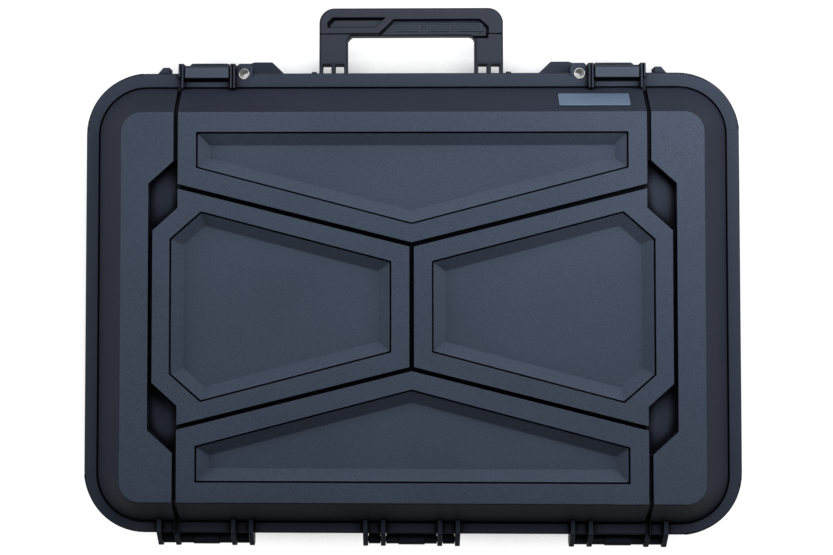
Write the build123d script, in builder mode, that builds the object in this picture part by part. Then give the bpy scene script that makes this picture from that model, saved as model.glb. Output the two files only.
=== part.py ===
from build123d import *
import math
import os

# A hard moulded case for knives, lying on its back: the lid faces up (+Z), the handle side is +Y and the
# hinge side is -Y. The origin is the middle of the flat rest face under the base. Sizes are millimetres.

# Overall body, as the rim shows it from above
case_width = 460.0
case_depth = 323.0
base_height = 66.0
lid_height = 29.5
parting_gap = 0.2
rim_corner_radius = 43.0
rim_edge_round = 1.6
lid_rim_height = 10.0
base_rim_height = 8.0
wall = 3.2

# Flat bands of the rim around the dome, and the runs of the dome's slopes
rim_band_side = 10.0
rim_band_handle = 11.0
rim_band_hinge = 8.5
slope_run_side = 18.0
slope_run_handle = 18.5
slope_run_hinge = 15.0
body_corner_radius = 33.0
face_corner_radius = 14.0
foot_groove_width = 1.0
foot_groove_depth = 1.2
face_edge_round = 1.6

# Base tub
base_draft = 2.0
base_bottom_chamfer = 7.0
base_floor = 4.0
bottom_recess = 1.4
bottom_land = 16.0
flange_rib_thickness = 2.6
flange_rib_setback = 1.5
flange_rib_foot = 22.0
flange_rib_shoulder = 44.0
wall_overlap_share = 0.55
side_rib_pitch = 46.0
side_rib_count = 5
end_rib_inset = 24.0
hinge_rib_pitch = 20.0
base_lug_depth = 12.0
lid_lug_height = 8.0

# Relief on the lid's face: grooves that part the panels, placed from the edges of the face
groove_width = 3.0
groove_depth = 4.2
slope_groove_depth = 2.6
cross_end_side_inset = 39.6
cross_end_far_inset = 51.0
cross_middle_half = 42.7
slot_width = 2.8
side_groove_inset = 22.2
side_groove_width = 2.9
side_panel_corner_drop = 15.6
side_panel_shoulder_drop = 15.7
side_plate_corner_rise = 17.0
side_plate_shoulder_drop = 15.8
recess_depth = 6.2

# Pockets sunk in the four panels
pocket_depth = 5.6
pocket_wall_run = 9.0
pocket_line_width = 0.9
pocket_line_depth = 2.2
pocket_lip_drop = 0.7
long_pocket_end_margin = 12.8
long_pocket_far_margin = 14.0
long_pocket_corner_margin = 12.1
long_pocket_middle_margin = 14.3
side_pocket_inner_margin = 14.1
side_pocket_middle_margin = 11.3
side_pocket_corner_margin_x = 16.4
side_pocket_corner_margin_y = 18.2
side_pocket_outer_margin_x = 12.1
side_pocket_outer_margin_y = 6.0

# Hinges: one axis, three hinges
hinge_from_side = 85.7
hinge_axis_out = 5.2
hinge_rib_radius = 4.9
hinge_knuckle_radius = 3.3
hinge_barrel_radius = 3.9
hinge_barrel_width = 18.4
hinge_pin_diameter = 4.0
hinge_rib_thickness = 3.4
hinge_inner_rib = 19.8
hinge_outer_rib = 32.2
hinge_rib_rise = 2.6
hinge_web_depth = 20.0
hinge_rib_round = 3.0
pin_chamfer = 0.4

# Latches: a snap lever on a pin low on the base, hooked over the lid's rim
latch_from_side = 85.5
latch_plate_width = 30.8
latch_barrel_width = 32.2
latch_pin_height = 42.0
latch_pin_out = 2.3
latch_pin_diameter = 3.6
latch_barrel_radius = 4.2
latch_plate_out = 5.3
latch_hook_in = 3.8
latch_hook_thickness = 2.8
latch_hook_bevel = 2.0
latch_pull_out = 9.4
latch_pull_height = 7.0
latch_pull_width = 29.8
latch_pull_corner = 3.0
latch_pull_drop = 14.0
latch_rim_gap = 0.5
latch_hook_gap = 0.35
latch_groove_count = 3
latch_groove_length = 18.0
latch_groove_width = 2.2
latch_groove_depth = 0.8
latch_groove_pitch = 3.6
latch_groove_rise = 5.5
latch_ear_thickness = 3.6
latch_ear_spacing = 36.5
latch_ear_out = 6.8
latch_ear_round = 2.4
latch_ear_radius = 4.5
latch_ear_foot = 12.0
lid_rib_rise = 3.0
lid_rib_slot_width = 0.9
lid_rib_slot_depth = 1.2
catch_slot = 2.3
catch_slot_under = 0.8
catch_slot_depth = 3.0

# Padlock lugs with metal eyelets
padlock_from_latch = 26.1
padlock_inset = 0.6
padlock_lug_near = 4.8
padlock_lug_far = 6.5
padlock_lug_corner = 3.0
lug_root = 4.5
padlock_lug_out = 6.9
padlock_bore = 6.4
eyelet_wall = 0.7
eyelet_proud = 0.3
wing_out = 9.2
wing_flat_length = 19.2
wing_end_length = 28.8
corner_lug_from_latch = 26.9
corner_lug_foot = 8.4
corner_lug_tip = 4.6
corner_lug_out = 4.4
corner_lug_drop = 6.0
bumper_from_handle = 2.7
bumper_width = 3.6
bumper_out = 1.1

# Carrying handle, drawn out in its own plane
handle_width = 132.0
handle_opening = 91.0
handle_reach = 52.2
handle_grip_height = 20.1
handle_thickness = 15.0
handle_corner_radius = 11.0
handle_edge_round = 2.6
handle_pin_height = 52.5
handle_pin_inset = 3.0
handle_pin_diameter = 5.0
handle_pivot_radius = 5.0
handle_pin_recess = 0.6
handle_taper_start = 4.5
handle_taper_end = 13.0
handle_outer_finger = 2.5
handle_window = 6.2
handle_web = 2.9
handle_window_end = 11.2
handle_inner_chamfer = 3.2
handle_inner_round = 4.0
cover_thickness = 4.6
cover_gap = 0.35
cover_foot_rise = 1.0
cover_step_rise = 11.5
cover_left_inset = 42.9
cover_left_slant = 10.8
cover_right_inset = 10.8
cover_right_slant = 6.0
cover_corner_rise = 5.9
cover_past_edge = 2.0
cover_step_width = 1.4
cover_step_depth = 3.0
cover_recess_depth = 0.9
cover_line_width = 1.8
cover_line_depth = 3.0
cover_recess_side = 5.9
cover_recess_rise = 5.7
cover_recess_height = 7.3
cover_recess_shoulder = 3.7
cover_recess_end_gap = 3.0
cover_recess_slant = 7.8
grip_land_drop = 1.0
grip_pad_bottom = 2.8
grip_pad_height = 6.2
grip_pad_depth = 1.2
grip_pad_proud = 0.3
grip_pad_count = 3
grip_pad_gap = 3.8
grip_pad_start = 1.0
grip_pad_end = 2.2
grip_rib_count = 5
grip_rib_height = 0.5
grip_rib_share = 0.6
ear_side_gap = 0.3
handle_ear_radius = 4.2
handle_ear_foot = 8.0

# Seal, foam and badge
gasket_width = 3.4
gasket_depth = 3.4
gasket_inset = 5.5
gasket_side_gap = 0.2
gasket_gap = 0.25
foam_gap = 0.5
base_pad_thickness = 20.0
tray_thickness = 35.0
tray_gap = 0.3
lid_foam_thickness = 17.0
knife_count = 6
knife_pocket_length = 372.0
knife_blade_width = 20.0
knife_handle_length = 128.0
knife_handle_width = 30.0
tray_border = 16.75
finger_notch = 36.0
finger_notch_x = 62.0
badge_width = 49.5
badge_height = 13.6
badge_thickness = 0.8
badge_corner = 1.2
badge_slot_gap = 10.4
badge_rise = 0.6

# Extra material behind each pocket and groove, where the panel is pressed in
backing_grow = 2.0

# Fits
press_gap = 0.02
running_gap = 0.08
side_gap = 0.3

# Places worked out from the sizes above
rim_y = case_depth / 2
lid_bottom = base_height + parting_gap
lid_rim_top = base_height + lid_rim_height
lid_top = base_height + lid_height
dome_rise = lid_top - lid_rim_top
body_width = case_width - 2 * rim_band_side
body_depth = case_depth - rim_band_handle - rim_band_hinge
body_y = (rim_band_hinge - rim_band_handle) / 2
face_width = body_width - 2 * slope_run_side
face_depth = body_depth - slope_run_handle - slope_run_hinge
face_y = body_y + (slope_run_hinge - slope_run_handle) / 2
slope_angle = math.atan2(dome_rise, slope_run_handle)
base_rim_bottom = base_height - base_rim_height
draft_run = base_rim_bottom * math.tan(math.radians(base_draft))
hinge_y = -rim_y - hinge_axis_out
hinge_z = base_height + parting_gap / 2
latch_y = rim_y + latch_pin_out
handle_y = rim_y - handle_pin_inset
padlock_y = rim_y - padlock_inset
padlock_bore_radius = padlock_bore / 2
eyelet_radius = padlock_bore_radius + eyelet_wall
opening_top = handle_reach - handle_grip_height
handle_half = handle_width / 2
opening_half = handle_opening / 2
catch_back = rim_y - latch_hook_in - catch_slot
body_half = body_width / 2
hinge_spacing = case_width / 2 - hinge_from_side
latch_x = case_width / 2 - latch_from_side
padlock_x = latch_x - padlock_from_latch
wing_flat_x = padlock_x - wing_flat_length
wing_end_x = padlock_x - wing_end_length
corner_lug_x = latch_x + corner_lug_from_latch
bumper_x = handle_half + bumper_from_handle
body_back = body_y - body_depth / 2
body_front = body_y + body_depth / 2
inside_wall = wall * wall_overlap_share
base_lug_bottom = base_height - base_lug_depth
lid_lug_top = lid_bottom + lid_lug_height
latch_plate_face = rim_y + latch_plate_out
latch_pull_bottom = base_height - latch_pull_drop
latch_groove_start = latch_pin_height + latch_groove_rise
handle_bottom = handle_pin_height - handle_thickness / 2
handle_top = handle_pin_height + handle_thickness / 2
land_top = handle_top - grip_land_drop
land_bottom = handle_bottom + grip_land_drop
pad_top = land_top + grip_pad_proud
pad_bottom = land_bottom - grip_pad_proud
gasket_top = lid_bottom + gasket_depth
base_pad_top = base_floor + tray_gap + base_pad_thickness
tray_top = base_pad_top + tray_gap + tray_thickness
lid_foam_top = lid_top - max(pocket_depth, recess_depth) - wall - foam_gap
lid_foam_bottom = lid_foam_top - lid_foam_thickness
knife_pitch = (body_depth - 2 * tray_border) / knife_count

# The panels' corners and the pockets in them, measured from the middle of the face
cross_end_x = face_width / 2 - cross_end_side_inset
cross_end_y = face_depth / 2 - cross_end_far_inset
side_groove_x = face_width / 2 - side_groove_inset
side_panel_corner_y = cross_end_y - side_panel_corner_drop
side_panel_shoulder_y = side_panel_corner_y - side_panel_shoulder_drop
side_plate_corner_y = cross_end_y + side_plate_corner_rise
side_plate_shoulder_y = side_plate_corner_y - side_plate_shoulder_drop
long_pocket_half = cross_end_x - long_pocket_end_margin
long_pocket_far = face_depth / 2 - long_pocket_far_margin
long_pocket_corner = cross_end_y + long_pocket_corner_margin
long_pocket_vertex = cross_middle_half + long_pocket_middle_margin
side_pocket_inner_y = cross_middle_half - side_pocket_middle_margin
side_pocket_corner_x = cross_end_x - side_pocket_corner_margin_x
side_pocket_corner_y = cross_end_y - side_pocket_corner_margin_y
side_pocket_outer_x = side_groove_x - side_pocket_outer_margin_x
side_pocket_outer_y = side_panel_shoulder_y - side_pocket_outer_margin_y
badge_x = cross_end_x - badge_slot_gap - badge_width / 2
slope_plane = Plane(
    origin=(badge_x, body_front - slope_run_handle / 2, lid_rim_top + dome_rise / 2),
    x_dir=(1, 0, 0),
    z_dir=(0, dome_rise, slope_run_handle),
)


def rounded_plate(width, depth, radius, centre_y, bottom, top):
    """A rounded rectangle standing from bottom to top."""
    with BuildPart() as plate:
        with BuildSketch(Plane.XY.offset(bottom)):
            with Locations((0, centre_y)):
                RectangleRounded(width, depth, radius)
        extrude(amount=top - bottom)
    return plate.part


def dome(skin):
    """The lid's dome, drawn in by a skin thickness all over."""
    draw_in = skin / math.sin(slope_angle)
    with BuildPart() as solid:
        for height in (0.0, dome_rise - skin):
            share = height / dome_rise
            width = body_width + (face_width - body_width) * share - 2 * draw_in
            depth = body_depth + (face_depth - body_depth) * share - 2 * draw_in
            radius = body_corner_radius + (face_corner_radius - body_corner_radius) * share - draw_in
            centre_y = body_y + (face_y - body_y) * share
            with BuildSketch(Plane.XY.offset(lid_rim_top + height)):
                with Locations((0, centre_y)):
                    RectangleRounded(width, depth, radius)
        loft(ruled=True)
    return solid.part


def tub(skin, bottom, top):
    """The base's drafted tub, drawn in by a skin thickness, from one height to another."""
    with BuildPart() as solid:
        for height in (bottom, top):
            draw_in = skin + draft_run * (base_rim_bottom - height) / base_rim_bottom
            width = body_width - 2 * draw_in
            depth = body_depth - 2 * draw_in
            with BuildSketch(Plane.XY.offset(height)):
                with Locations((0, body_y)):
                    RectangleRounded(width, depth, body_corner_radius - draw_in)
        loft(ruled=True)
    return solid.part


def bottom_bevel():
    """The sloped band between the rest face and the tub's walls."""
    with BuildPart() as solid:
        for height, bevel in ((0.0, base_bottom_chamfer), (base_bottom_chamfer, 0.0)):
            draw_in = bevel + draft_run * (base_rim_bottom - height) / base_rim_bottom
            width = body_width - 2 * draw_in
            depth = body_depth - 2 * draw_in
            with BuildSketch(Plane.XY.offset(height)):
                with Locations((0, body_y)):
                    RectangleRounded(width, depth, body_corner_radius - draw_in)
        loft(ruled=True)
    return solid.part


def ring(inset, width, bottom, top):
    """A flat ring that follows the rim, a given distance inside its edge."""
    with BuildPart() as band:
        with BuildSketch(Plane.XY.offset(bottom)):
            RectangleRounded(case_width - 2 * inset, case_depth - 2 * inset, rim_corner_radius - inset)
            inner = inset + width
            RectangleRounded(
                case_width - 2 * inner, case_depth - 2 * inner, rim_corner_radius - inner, mode=Mode.SUBTRACT
            )
        extrude(amount=top - bottom)
    return band.part


def polygon_prism(points, bottom, top, grow=0.0):
    """A polygon in plan, grown by an amount, standing from bottom to top."""
    with BuildPart() as prism:
        with BuildSketch(Plane.XY.offset(bottom)) as outline:
            with BuildLine():
                Polyline(*points, close=True)
            make_face()
            if grow:
                offset(amount=grow, kind=Kind.INTERSECTION)
        extrude(amount=top - bottom)
    return prism.part


def pocket_loft(points, top, bottom, top_grow, bottom_grow):
    """A polygon at one height drawn in evenly to a smaller one below it."""
    with BuildPart() as solid:
        for height, grow in ((top, top_grow), (bottom, bottom_grow)):
            with BuildSketch(Plane.XY.offset(height)):
                with BuildLine():
                    Polyline(*points, close=True)
                make_face()
                offset(amount=grow, kind=Kind.INTERSECTION)
        loft(ruled=True)
    return solid.part


def pocket_line(points):
    """The narrow line pressed round a pocket's edge."""
    with BuildPart() as line:
        add(polygon_prism(points, lid_top - pocket_line_depth, lid_top))
        inner = polygon_prism(points, lid_top - pocket_line_depth, lid_top, -pocket_line_width)
        add(inner, mode=Mode.SUBTRACT)
    return line.part


def slot_shell(points, skin, grow=0.0):
    """A strip of the dome in plan, from its surface down to a given depth below it."""
    with BuildPart() as strip:
        add(polygon_prism(points, lid_rim_top, lid_top, grow))
        add(dome(skin), mode=Mode.SUBTRACT)
    return strip.part


def slot_backing(strip):
    """The part of a strip that lies inside the dome's skin."""
    with BuildPart() as backing:
        add(strip)
        add(dome(wall / 2), mode=Mode.INTERSECT)
    return backing.part


def side_profile(points, x_start, x_end, rounded=None, radius=0.0):
    """A polygon in the YZ plane, drawn out along X, with one corner rounded if it is named."""
    with BuildPart() as slab:
        with BuildSketch(Plane.YZ.offset(x_start)) as profile:
            with BuildLine():
                Polyline(*points, close=True)
            make_face()
            if rounded is not None:
                fillet(profile.vertices().sort_by_distance(points[rounded])[0], radius=radius)
        extrude(amount=x_end - x_start)
    return slab.part


def gusset_y(x, side):
    """A rib under the rim flange on the hinge side (-1) or the handle side (1)."""
    wall_y = body_back + inside_wall if side < 0 else body_front - inside_wall
    edge_y = side * (rim_y - flange_rib_setback)
    points = [
        (wall_y, flange_rib_foot),
        (wall_y, base_rim_bottom + flange_rib_setback),
        (edge_y, base_rim_bottom + flange_rib_setback),
        (edge_y, flange_rib_shoulder),
    ]
    return side_profile(points, x - flange_rib_thickness / 2, x + flange_rib_thickness / 2)


def gusset_x(y, side):
    """A rib under the rim flange on the left (-1) or the right (1) side."""
    wall_x = side * (body_half - inside_wall)
    edge_x = side * (case_width / 2 - flange_rib_setback)
    with BuildPart() as slab:
        with BuildSketch(Plane.XZ.offset(-y - flange_rib_thickness / 2)):
            with BuildLine():
                Polyline(
                    (wall_x, flange_rib_foot),
                    (wall_x, base_rim_bottom + flange_rib_setback),
                    (edge_x, base_rim_bottom + flange_rib_setback),
                    (edge_x, flange_rib_shoulder),
                    close=True,
                )
            make_face()
        extrude(amount=flange_rib_thickness)
    return slab.part


def cross_rod(radius, y, z, x_start, x_end):
    """A round rod along X."""
    with BuildPart() as rod:
        with BuildSketch(Plane.YZ.offset(x_start)):
            with Locations((y, z)):
                Circle(radius)
        extrude(amount=x_end - x_start)
    return rod.part


def hinge_rod(radius, place):
    """A round rod on the hinge axis, as long as one hinge."""
    return cross_rod(radius, hinge_y, hinge_z, place - hinge_pin_half, place + hinge_pin_half)


def latch_rod(radius, place, half_length):
    """A round rod on the latches' axis, centred on one latch."""
    return cross_rod(radius, latch_y, latch_pin_height, place - half_length, place + half_length)


def upright_rod(radius, x, y, bottom, top):
    """A round rod along Z."""
    with BuildPart() as rod:
        with BuildSketch(Plane.XY.offset(bottom)):
            with Locations((x, y)):
                Circle(radius)
        extrude(amount=top - bottom)
    return rod.part


def from_face(points):
    """Points measured from the middle of the lid's face, in plan."""
    return [(x, y + face_y) for x, y in points]


def sided(points, side):
    """The same points, on the left (-1) or the right (1)."""
    return [(side * x, y) for x, y in points]


def mirrored(points, flip_x, flip_y):
    """The same points, flipped left to right, top to bottom, or both."""
    return [(-x if flip_x else x, -y if flip_y else y) for x, y in points]


long_pocket = [
    (-long_pocket_half, long_pocket_far),
    (long_pocket_half, long_pocket_far),
    (long_pocket_half, long_pocket_corner),
    (0, long_pocket_vertex),
    (-long_pocket_half, long_pocket_corner),
]
side_pocket = [
    (side_pocket_inner_margin, side_pocket_inner_y),
    (side_pocket_corner_x, side_pocket_corner_y),
    (side_pocket_outer_x, side_pocket_outer_y),
    (side_pocket_outer_x, -side_pocket_outer_y),
    (side_pocket_corner_x, -side_pocket_corner_y),
    (side_pocket_inner_margin, -side_pocket_inner_y),
]
pocket_outlines = [
    from_face(long_pocket),
    from_face(mirrored(long_pocket, False, True)),
    from_face(side_pocket),
    from_face(mirrored(side_pocket, True, False)),
]

# Grooves between the panels: half of the cross, the middle groove, the side grooves and the corner recesses
half_groove = groove_width / 2
cross_arm = [
    (0, cross_middle_half - half_groove),
    (cross_end_x + slot_width, cross_end_y - half_groove),
    (cross_end_x + slot_width, cross_end_y + half_groove),
    (0, cross_middle_half + half_groove),
]
middle_groove = [
    (-half_groove, -cross_middle_half),
    (half_groove, -cross_middle_half),
    (half_groove, cross_middle_half),
    (-half_groove, cross_middle_half),
]
side_groove = [
    (side_groove_x, -side_panel_shoulder_y - slot_width),
    (side_groove_x + side_groove_width, -side_panel_shoulder_y - slot_width),
    (side_groove_x + side_groove_width, side_panel_shoulder_y + slot_width),
    (side_groove_x, side_panel_shoulder_y + slot_width),
]
corner_recess = [
    (cross_end_x, side_panel_corner_y),
    (side_groove_x, side_panel_shoulder_y),
    (side_groove_x + side_groove_width, side_panel_shoulder_y),
    (side_groove_x + side_groove_width, side_plate_shoulder_y),
    (cross_end_x + slot_width, side_plate_corner_y),
    (cross_end_x, side_plate_corner_y),
]
slope_slot = [
    (cross_end_x, side_plate_corner_y),
    (cross_end_x + slot_width, side_plate_corner_y),
    (cross_end_x + slot_width, rim_y),
    (cross_end_x, rim_y),
]
groove_outlines = [from_face(middle_groove)]
recess_outlines = []
slot_outlines = []
for flip_y in (False, True):
    for flip_x in (False, True):
        groove_outlines.append(from_face(mirrored(cross_arm, flip_x, flip_y)))
        recess_outlines.append(from_face(mirrored(corner_recess, flip_x, flip_y)))
        slot_outlines.append(from_face(mirrored(slope_slot, flip_x, flip_y)))
groove_outlines.append(from_face(side_groove))
groove_outlines.append(from_face(mirrored(side_groove, True, False)))

hinge_places = (-hinge_spacing, 0.0, hinge_spacing)
latch_places = (-latch_x, latch_x)
lid_hinge_ribs = (-hinge_outer_rib, -hinge_inner_rib, hinge_inner_rib, hinge_outer_rib)
half_rib = hinge_rib_thickness / 2
base_knuckle_spans = (
    (-hinge_outer_rib + half_rib + side_gap, -hinge_inner_rib - half_rib - side_gap),
    (-hinge_inner_rib + half_rib + side_gap, hinge_inner_rib - half_rib - side_gap),
    (hinge_inner_rib + half_rib + side_gap, hinge_outer_rib - half_rib - side_gap),
)
hinge_pin_half = hinge_outer_rib + half_rib
latch_ear_inner = (latch_ear_spacing - latch_ear_thickness) / 2
latch_ear_outer = (latch_ear_spacing + latch_ear_thickness) / 2

# Each leg of the handle: outer finger, gap, web, gap and inner finger, from the outside in
gap_spans = []
gap_start = handle_half - handle_outer_finger
for _ in range(2):
    gap_spans.append((gap_start - handle_window, gap_start))
    gap_start -= handle_window + handle_web
handle_pin_start = opening_half + handle_pin_recess
handle_pin_end = handle_half - handle_pin_recess

side_rib_middle = (side_rib_count - 1) / 2
side_rib_places = [body_y + (row - side_rib_middle) * side_rib_pitch for row in range(side_rib_count)]
hinge_side_rib_places = [side * (body_half - end_rib_inset) for side in (-1, 1)]
for side in (-1, 1):
    for row in (-1, 0, 1):
        hinge_side_rib_places.append(side * (hinge_spacing / 2 + row * hinge_rib_pitch))
handle_side_rib_places = [side * (body_half - end_rib_inset) for side in (-1, 1)]
handle_side_rib_places += [side * (handle_half + wing_end_x) / 2 for side in (-1, 1)]
ear_spans = [(start + ear_side_gap, end - ear_side_gap) for start, end in gap_spans]
backing_draw = backing_grow - pocket_wall_run

# Side views of the pieces that are drawn out along X: (y, z) points
knuckle_reach = hinge_knuckle_radius / math.sqrt(2)
base_knuckle = [
    (body_back + inside_wall, base_height - hinge_web_depth),
    (body_back + inside_wall, base_rim_bottom + flange_rib_setback),
    (-rim_y, base_height),
    (hinge_y, base_height),
    (hinge_y - knuckle_reach, hinge_z - knuckle_reach),
]
lid_hinge_rib = [
    (body_back + half_rib, lid_rim_top - half_rib),
    (body_back + half_rib, lid_rim_top + hinge_rib_rise),
    (-rim_y, lid_rim_top + hinge_rib_rise),
    (hinge_y - hinge_rib_radius * math.cos(math.pi / 6), hinge_z + hinge_rib_radius / 2),
    (hinge_y, lid_bottom),
    (-rim_y + half_rib, lid_bottom),
]
base_latch_ear = [
    (body_front - inside_wall, latch_pin_height - latch_ear_foot),
    (body_front - inside_wall, base_rim_bottom + flange_rib_setback),
    (rim_y - flange_rib_setback, base_height),
    (rim_y + latch_ear_out, base_height),
    (latch_y + latch_ear_radius, latch_pin_height),
    (latch_y, latch_pin_height - latch_ear_radius),
]
lid_latch_rib = [
    (body_front, lid_rim_top - half_rib),
    (body_front, lid_rim_top + lid_rib_rise),
    (rim_y + latch_ear_out, lid_rim_top + lid_rib_rise),
    (rim_y + latch_ear_out, lid_bottom),
    (rim_y - flange_rib_setback, lid_bottom),
]
lid_rib_slot = [
    (body_front, lid_rim_top + lid_rib_rise - lid_rib_slot_depth),
    (body_front, lid_rim_top + lid_rib_rise),
    (rim_y + latch_ear_out, lid_rim_top + lid_rib_rise),
    (rim_y + latch_ear_out, lid_rim_top + lid_rib_rise - lid_rib_slot_depth),
]
hook_slot = [
    (catch_back, lid_rim_top - catch_slot_depth),
    (catch_back, lid_rim_top),
    (catch_back + catch_slot + catch_slot_under, lid_rim_top),
    (catch_back + catch_slot + catch_slot_under, lid_rim_top - catch_slot_depth),
]
latch_plate = [
    (rim_y + latch_rim_gap, latch_pin_height),
    (rim_y + latch_rim_gap, lid_rim_top + latch_hook_gap),
    (rim_y - latch_hook_in, lid_rim_top + latch_hook_gap),
    (rim_y - latch_hook_in, lid_rim_top + latch_hook_gap + latch_hook_thickness),
    (latch_plate_face - latch_hook_bevel, lid_rim_top + latch_hook_gap + latch_hook_thickness),
    (latch_plate_face, lid_rim_top + latch_hook_gap + latch_hook_thickness - latch_hook_bevel),
    (latch_plate_face, latch_pin_height),
]
handle_ear = [
    (body_front - inside_wall, handle_pin_height - handle_ear_foot),
    (body_front - inside_wall, base_rim_bottom + flange_rib_setback),
    (handle_y, base_rim_bottom + flange_rib_setback),
    (handle_y + handle_ear_radius, handle_pin_height),
    (handle_y, handle_pin_height - handle_ear_radius),
]
handle_taper = [
    (handle_y, handle_pin_height - handle_pivot_radius),
    (handle_y + handle_taper_start, handle_pin_height - handle_pivot_radius),
    (handle_y + handle_taper_end, handle_bottom),
    (handle_y + handle_reach, handle_bottom),
    (handle_y + handle_reach, handle_top),
    (handle_y + handle_taper_end, handle_top),
    (handle_y + handle_taper_start, handle_pin_height + handle_pivot_radius),
    (handle_y, handle_pin_height + handle_pivot_radius),
]

# Plan views of the pieces that stand up along Z: (x, y) points, for the right side
lug_near_x = padlock_x + padlock_lug_near
lug_far_x = padlock_x - padlock_lug_far
lug_tip_y = rim_y + padlock_lug_out
lid_padlock_lug = [
    (lug_far_x, rim_y - lug_root),
    (lug_near_x, rim_y - lug_root),
    (lug_near_x, lug_tip_y - padlock_lug_corner / 2),
    (lug_near_x - padlock_lug_corner / 2, lug_tip_y),
    (lug_far_x + padlock_lug_corner / 2, lug_tip_y),
    (lug_far_x, lug_tip_y - padlock_lug_corner),
]
base_padlock_lug = [
    (wing_end_x, rim_y - lug_root),
    (lug_near_x, rim_y - lug_root),
    (lug_near_x, lug_tip_y - padlock_lug_corner / 2),
    (lug_near_x - padlock_lug_corner / 2, lug_tip_y),
    (padlock_x, lug_tip_y),
    (lug_far_x, rim_y + wing_out),
    (wing_flat_x, rim_y + wing_out),
    (wing_end_x, rim_y),
]
corner_lug = [
    (corner_lug_x, rim_y - lug_root),
    (corner_lug_x + corner_lug_foot, rim_y - lug_root),
    (corner_lug_x + corner_lug_foot, rim_y),
    (corner_lug_x + corner_lug_tip, rim_y + corner_lug_out),
    (corner_lug_x, rim_y + corner_lug_out),
]
bumper = [
    (bumper_x - bumper_width / 2, rim_y - lug_root),
    (bumper_x + bumper_width / 2, rim_y - lug_root),
    (bumper_x + bumper_width / 2, rim_y + bumper_out),
    (bumper_x - bumper_width / 2, rim_y + bumper_out),
]

# The cover's outline on the front of the handle reaches past the outer edges, where only the form limits it.
# Inside its step the grip's face stands lower than the cover.
cover_line = handle_y + opening_top + cover_foot_rise
cover_top_line = handle_y + opening_top + cover_step_rise
cover_left_step = cover_left_inset - handle_half
cover_left_top = cover_left_step + cover_left_slant
cover_right_step = handle_half - cover_right_inset
cover_right_top = cover_right_step - cover_right_slant
cover_outline = [
    (-handle_half - cover_past_edge, cover_line),
    (cover_left_step, cover_line),
    (cover_left_top, cover_top_line),
    (cover_right_top, cover_top_line),
    (cover_right_step, handle_y + opening_top + cover_corner_rise),
    (cover_right_step, cover_line),
    (handle_half + cover_past_edge, cover_line),
    (handle_half + cover_past_edge, handle_y + handle_reach + cover_past_edge),
    (-handle_half - cover_past_edge, handle_y + handle_reach + cover_past_edge),
]
grip_land = [
    (cover_left_step, handle_y + opening_top - cover_past_edge),
    (cover_left_step, cover_line),
    (cover_left_top, cover_top_line),
    (cover_right_top, cover_top_line),
    (cover_right_step, handle_y + opening_top + cover_corner_rise),
    (cover_right_step, handle_y + opening_top - cover_past_edge),
]
recess_foot = handle_y + opening_top + cover_recess_rise
recess_end = cover_left_step - cover_recess_end_gap
cover_recess = [
    (-handle_half + cover_recess_side, recess_foot),
    (recess_end, recess_foot),
    (recess_end + cover_recess_slant, recess_foot + cover_recess_height),
    (-handle_half + cover_recess_side + cover_recess_shoulder, recess_foot + cover_recess_height),
    (-handle_half + cover_recess_side, recess_foot + cover_recess_height - cover_recess_shoulder),
]
cover_line_inside = [(x + cover_line_width, y - cover_line_width) for x, y in cover_recess]
grip_foot = handle_y + opening_top + grip_pad_bottom
rib_pitch = grip_pad_height / grip_rib_count
grip_start = cover_left_top + grip_pad_start
grip_end = cover_right_top + grip_pad_end
grip_pad_pitch = (grip_end - grip_start + grip_pad_gap) / grip_pad_count
grip_pad_spans = []
for row in range(grip_pad_count):
    pad_start = grip_start + row * grip_pad_pitch
    grip_pad_spans.append((pad_start, pad_start + grip_pad_pitch - grip_pad_gap))


def cover_step():
    """The shadow groove between the cover's step and the grip's face."""
    with BuildPart() as groove:
        add(polygon_prism(grip_land, handle_top - cover_step_depth, handle_top))
        inner = polygon_prism(grip_land, handle_top - cover_step_depth, handle_top, -cover_step_width)
        add(inner, mode=Mode.SUBTRACT)
    return groove.part


def cover_recess_line():
    """The deeper line along the far and the outer edge of the cover's recess."""
    with BuildPart() as line:
        add(polygon_prism(cover_recess, handle_top - cover_line_depth, handle_top))
        inner = polygon_prism(cover_line_inside, handle_top - cover_line_depth, handle_top)
        add(inner, mode=Mode.SUBTRACT)
    return line.part


def turned_over(solid):
    """The same form on the back of the handle, as if the handle were turned over about its length."""
    return solid.rotate(Axis((0, 0, handle_pin_height), (0, 1, 0)), 180)


def grip_outline(start, end):
    """One grip pad in plan, with its upper corners cut."""
    cut = rib_pitch
    return [
        (start, grip_foot),
        (end, grip_foot),
        (end, grip_foot + grip_pad_height - cut),
        (end - cut, grip_foot + grip_pad_height),
        (start + cut, grip_foot + grip_pad_height),
        (start, grip_foot + grip_pad_height - cut),
    ]


def grip_rib(start, end, row):
    """One of a grip pad's ribs in plan."""
    foot = grip_foot + (row + (1 - grip_rib_share) / 2) * rib_pitch
    return [
        (start + rib_pitch, foot),
        (end - rib_pitch, foot),
        (end - rib_pitch, foot + grip_rib_share * rib_pitch),
        (start + rib_pitch, foot + grip_rib_share * rib_pitch),
    ]


# Sunk panels under the base leave a wide cross and a border of flat land to rest on
land_x = body_half - draft_run - base_bottom_chamfer - bottom_land
land_y = body_depth / 2 - draft_run - base_bottom_chamfer - bottom_land
long_panel = [
    (-land_x + 2 * bottom_land, land_y),
    (land_x - 2 * bottom_land, land_y),
    (bottom_land, bottom_land),
    (-bottom_land, bottom_land),
]
short_panel = [
    (land_x, land_y - bottom_land),
    (land_x, bottom_land - land_y),
    (3 * bottom_land, -bottom_land / 2),
    (3 * bottom_land, bottom_land / 2),
]
bottom_panels = []
for panel, flip_x, flip_y in (
    (long_panel, False, False),
    (long_panel, False, True),
    (short_panel, False, False),
    (short_panel, True, False),
):
    bottom_panels.append([(x, y + body_y) for x, y in mirrored(panel, flip_x, flip_y)])

os.makedirs("parts", exist_ok=True)


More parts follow.
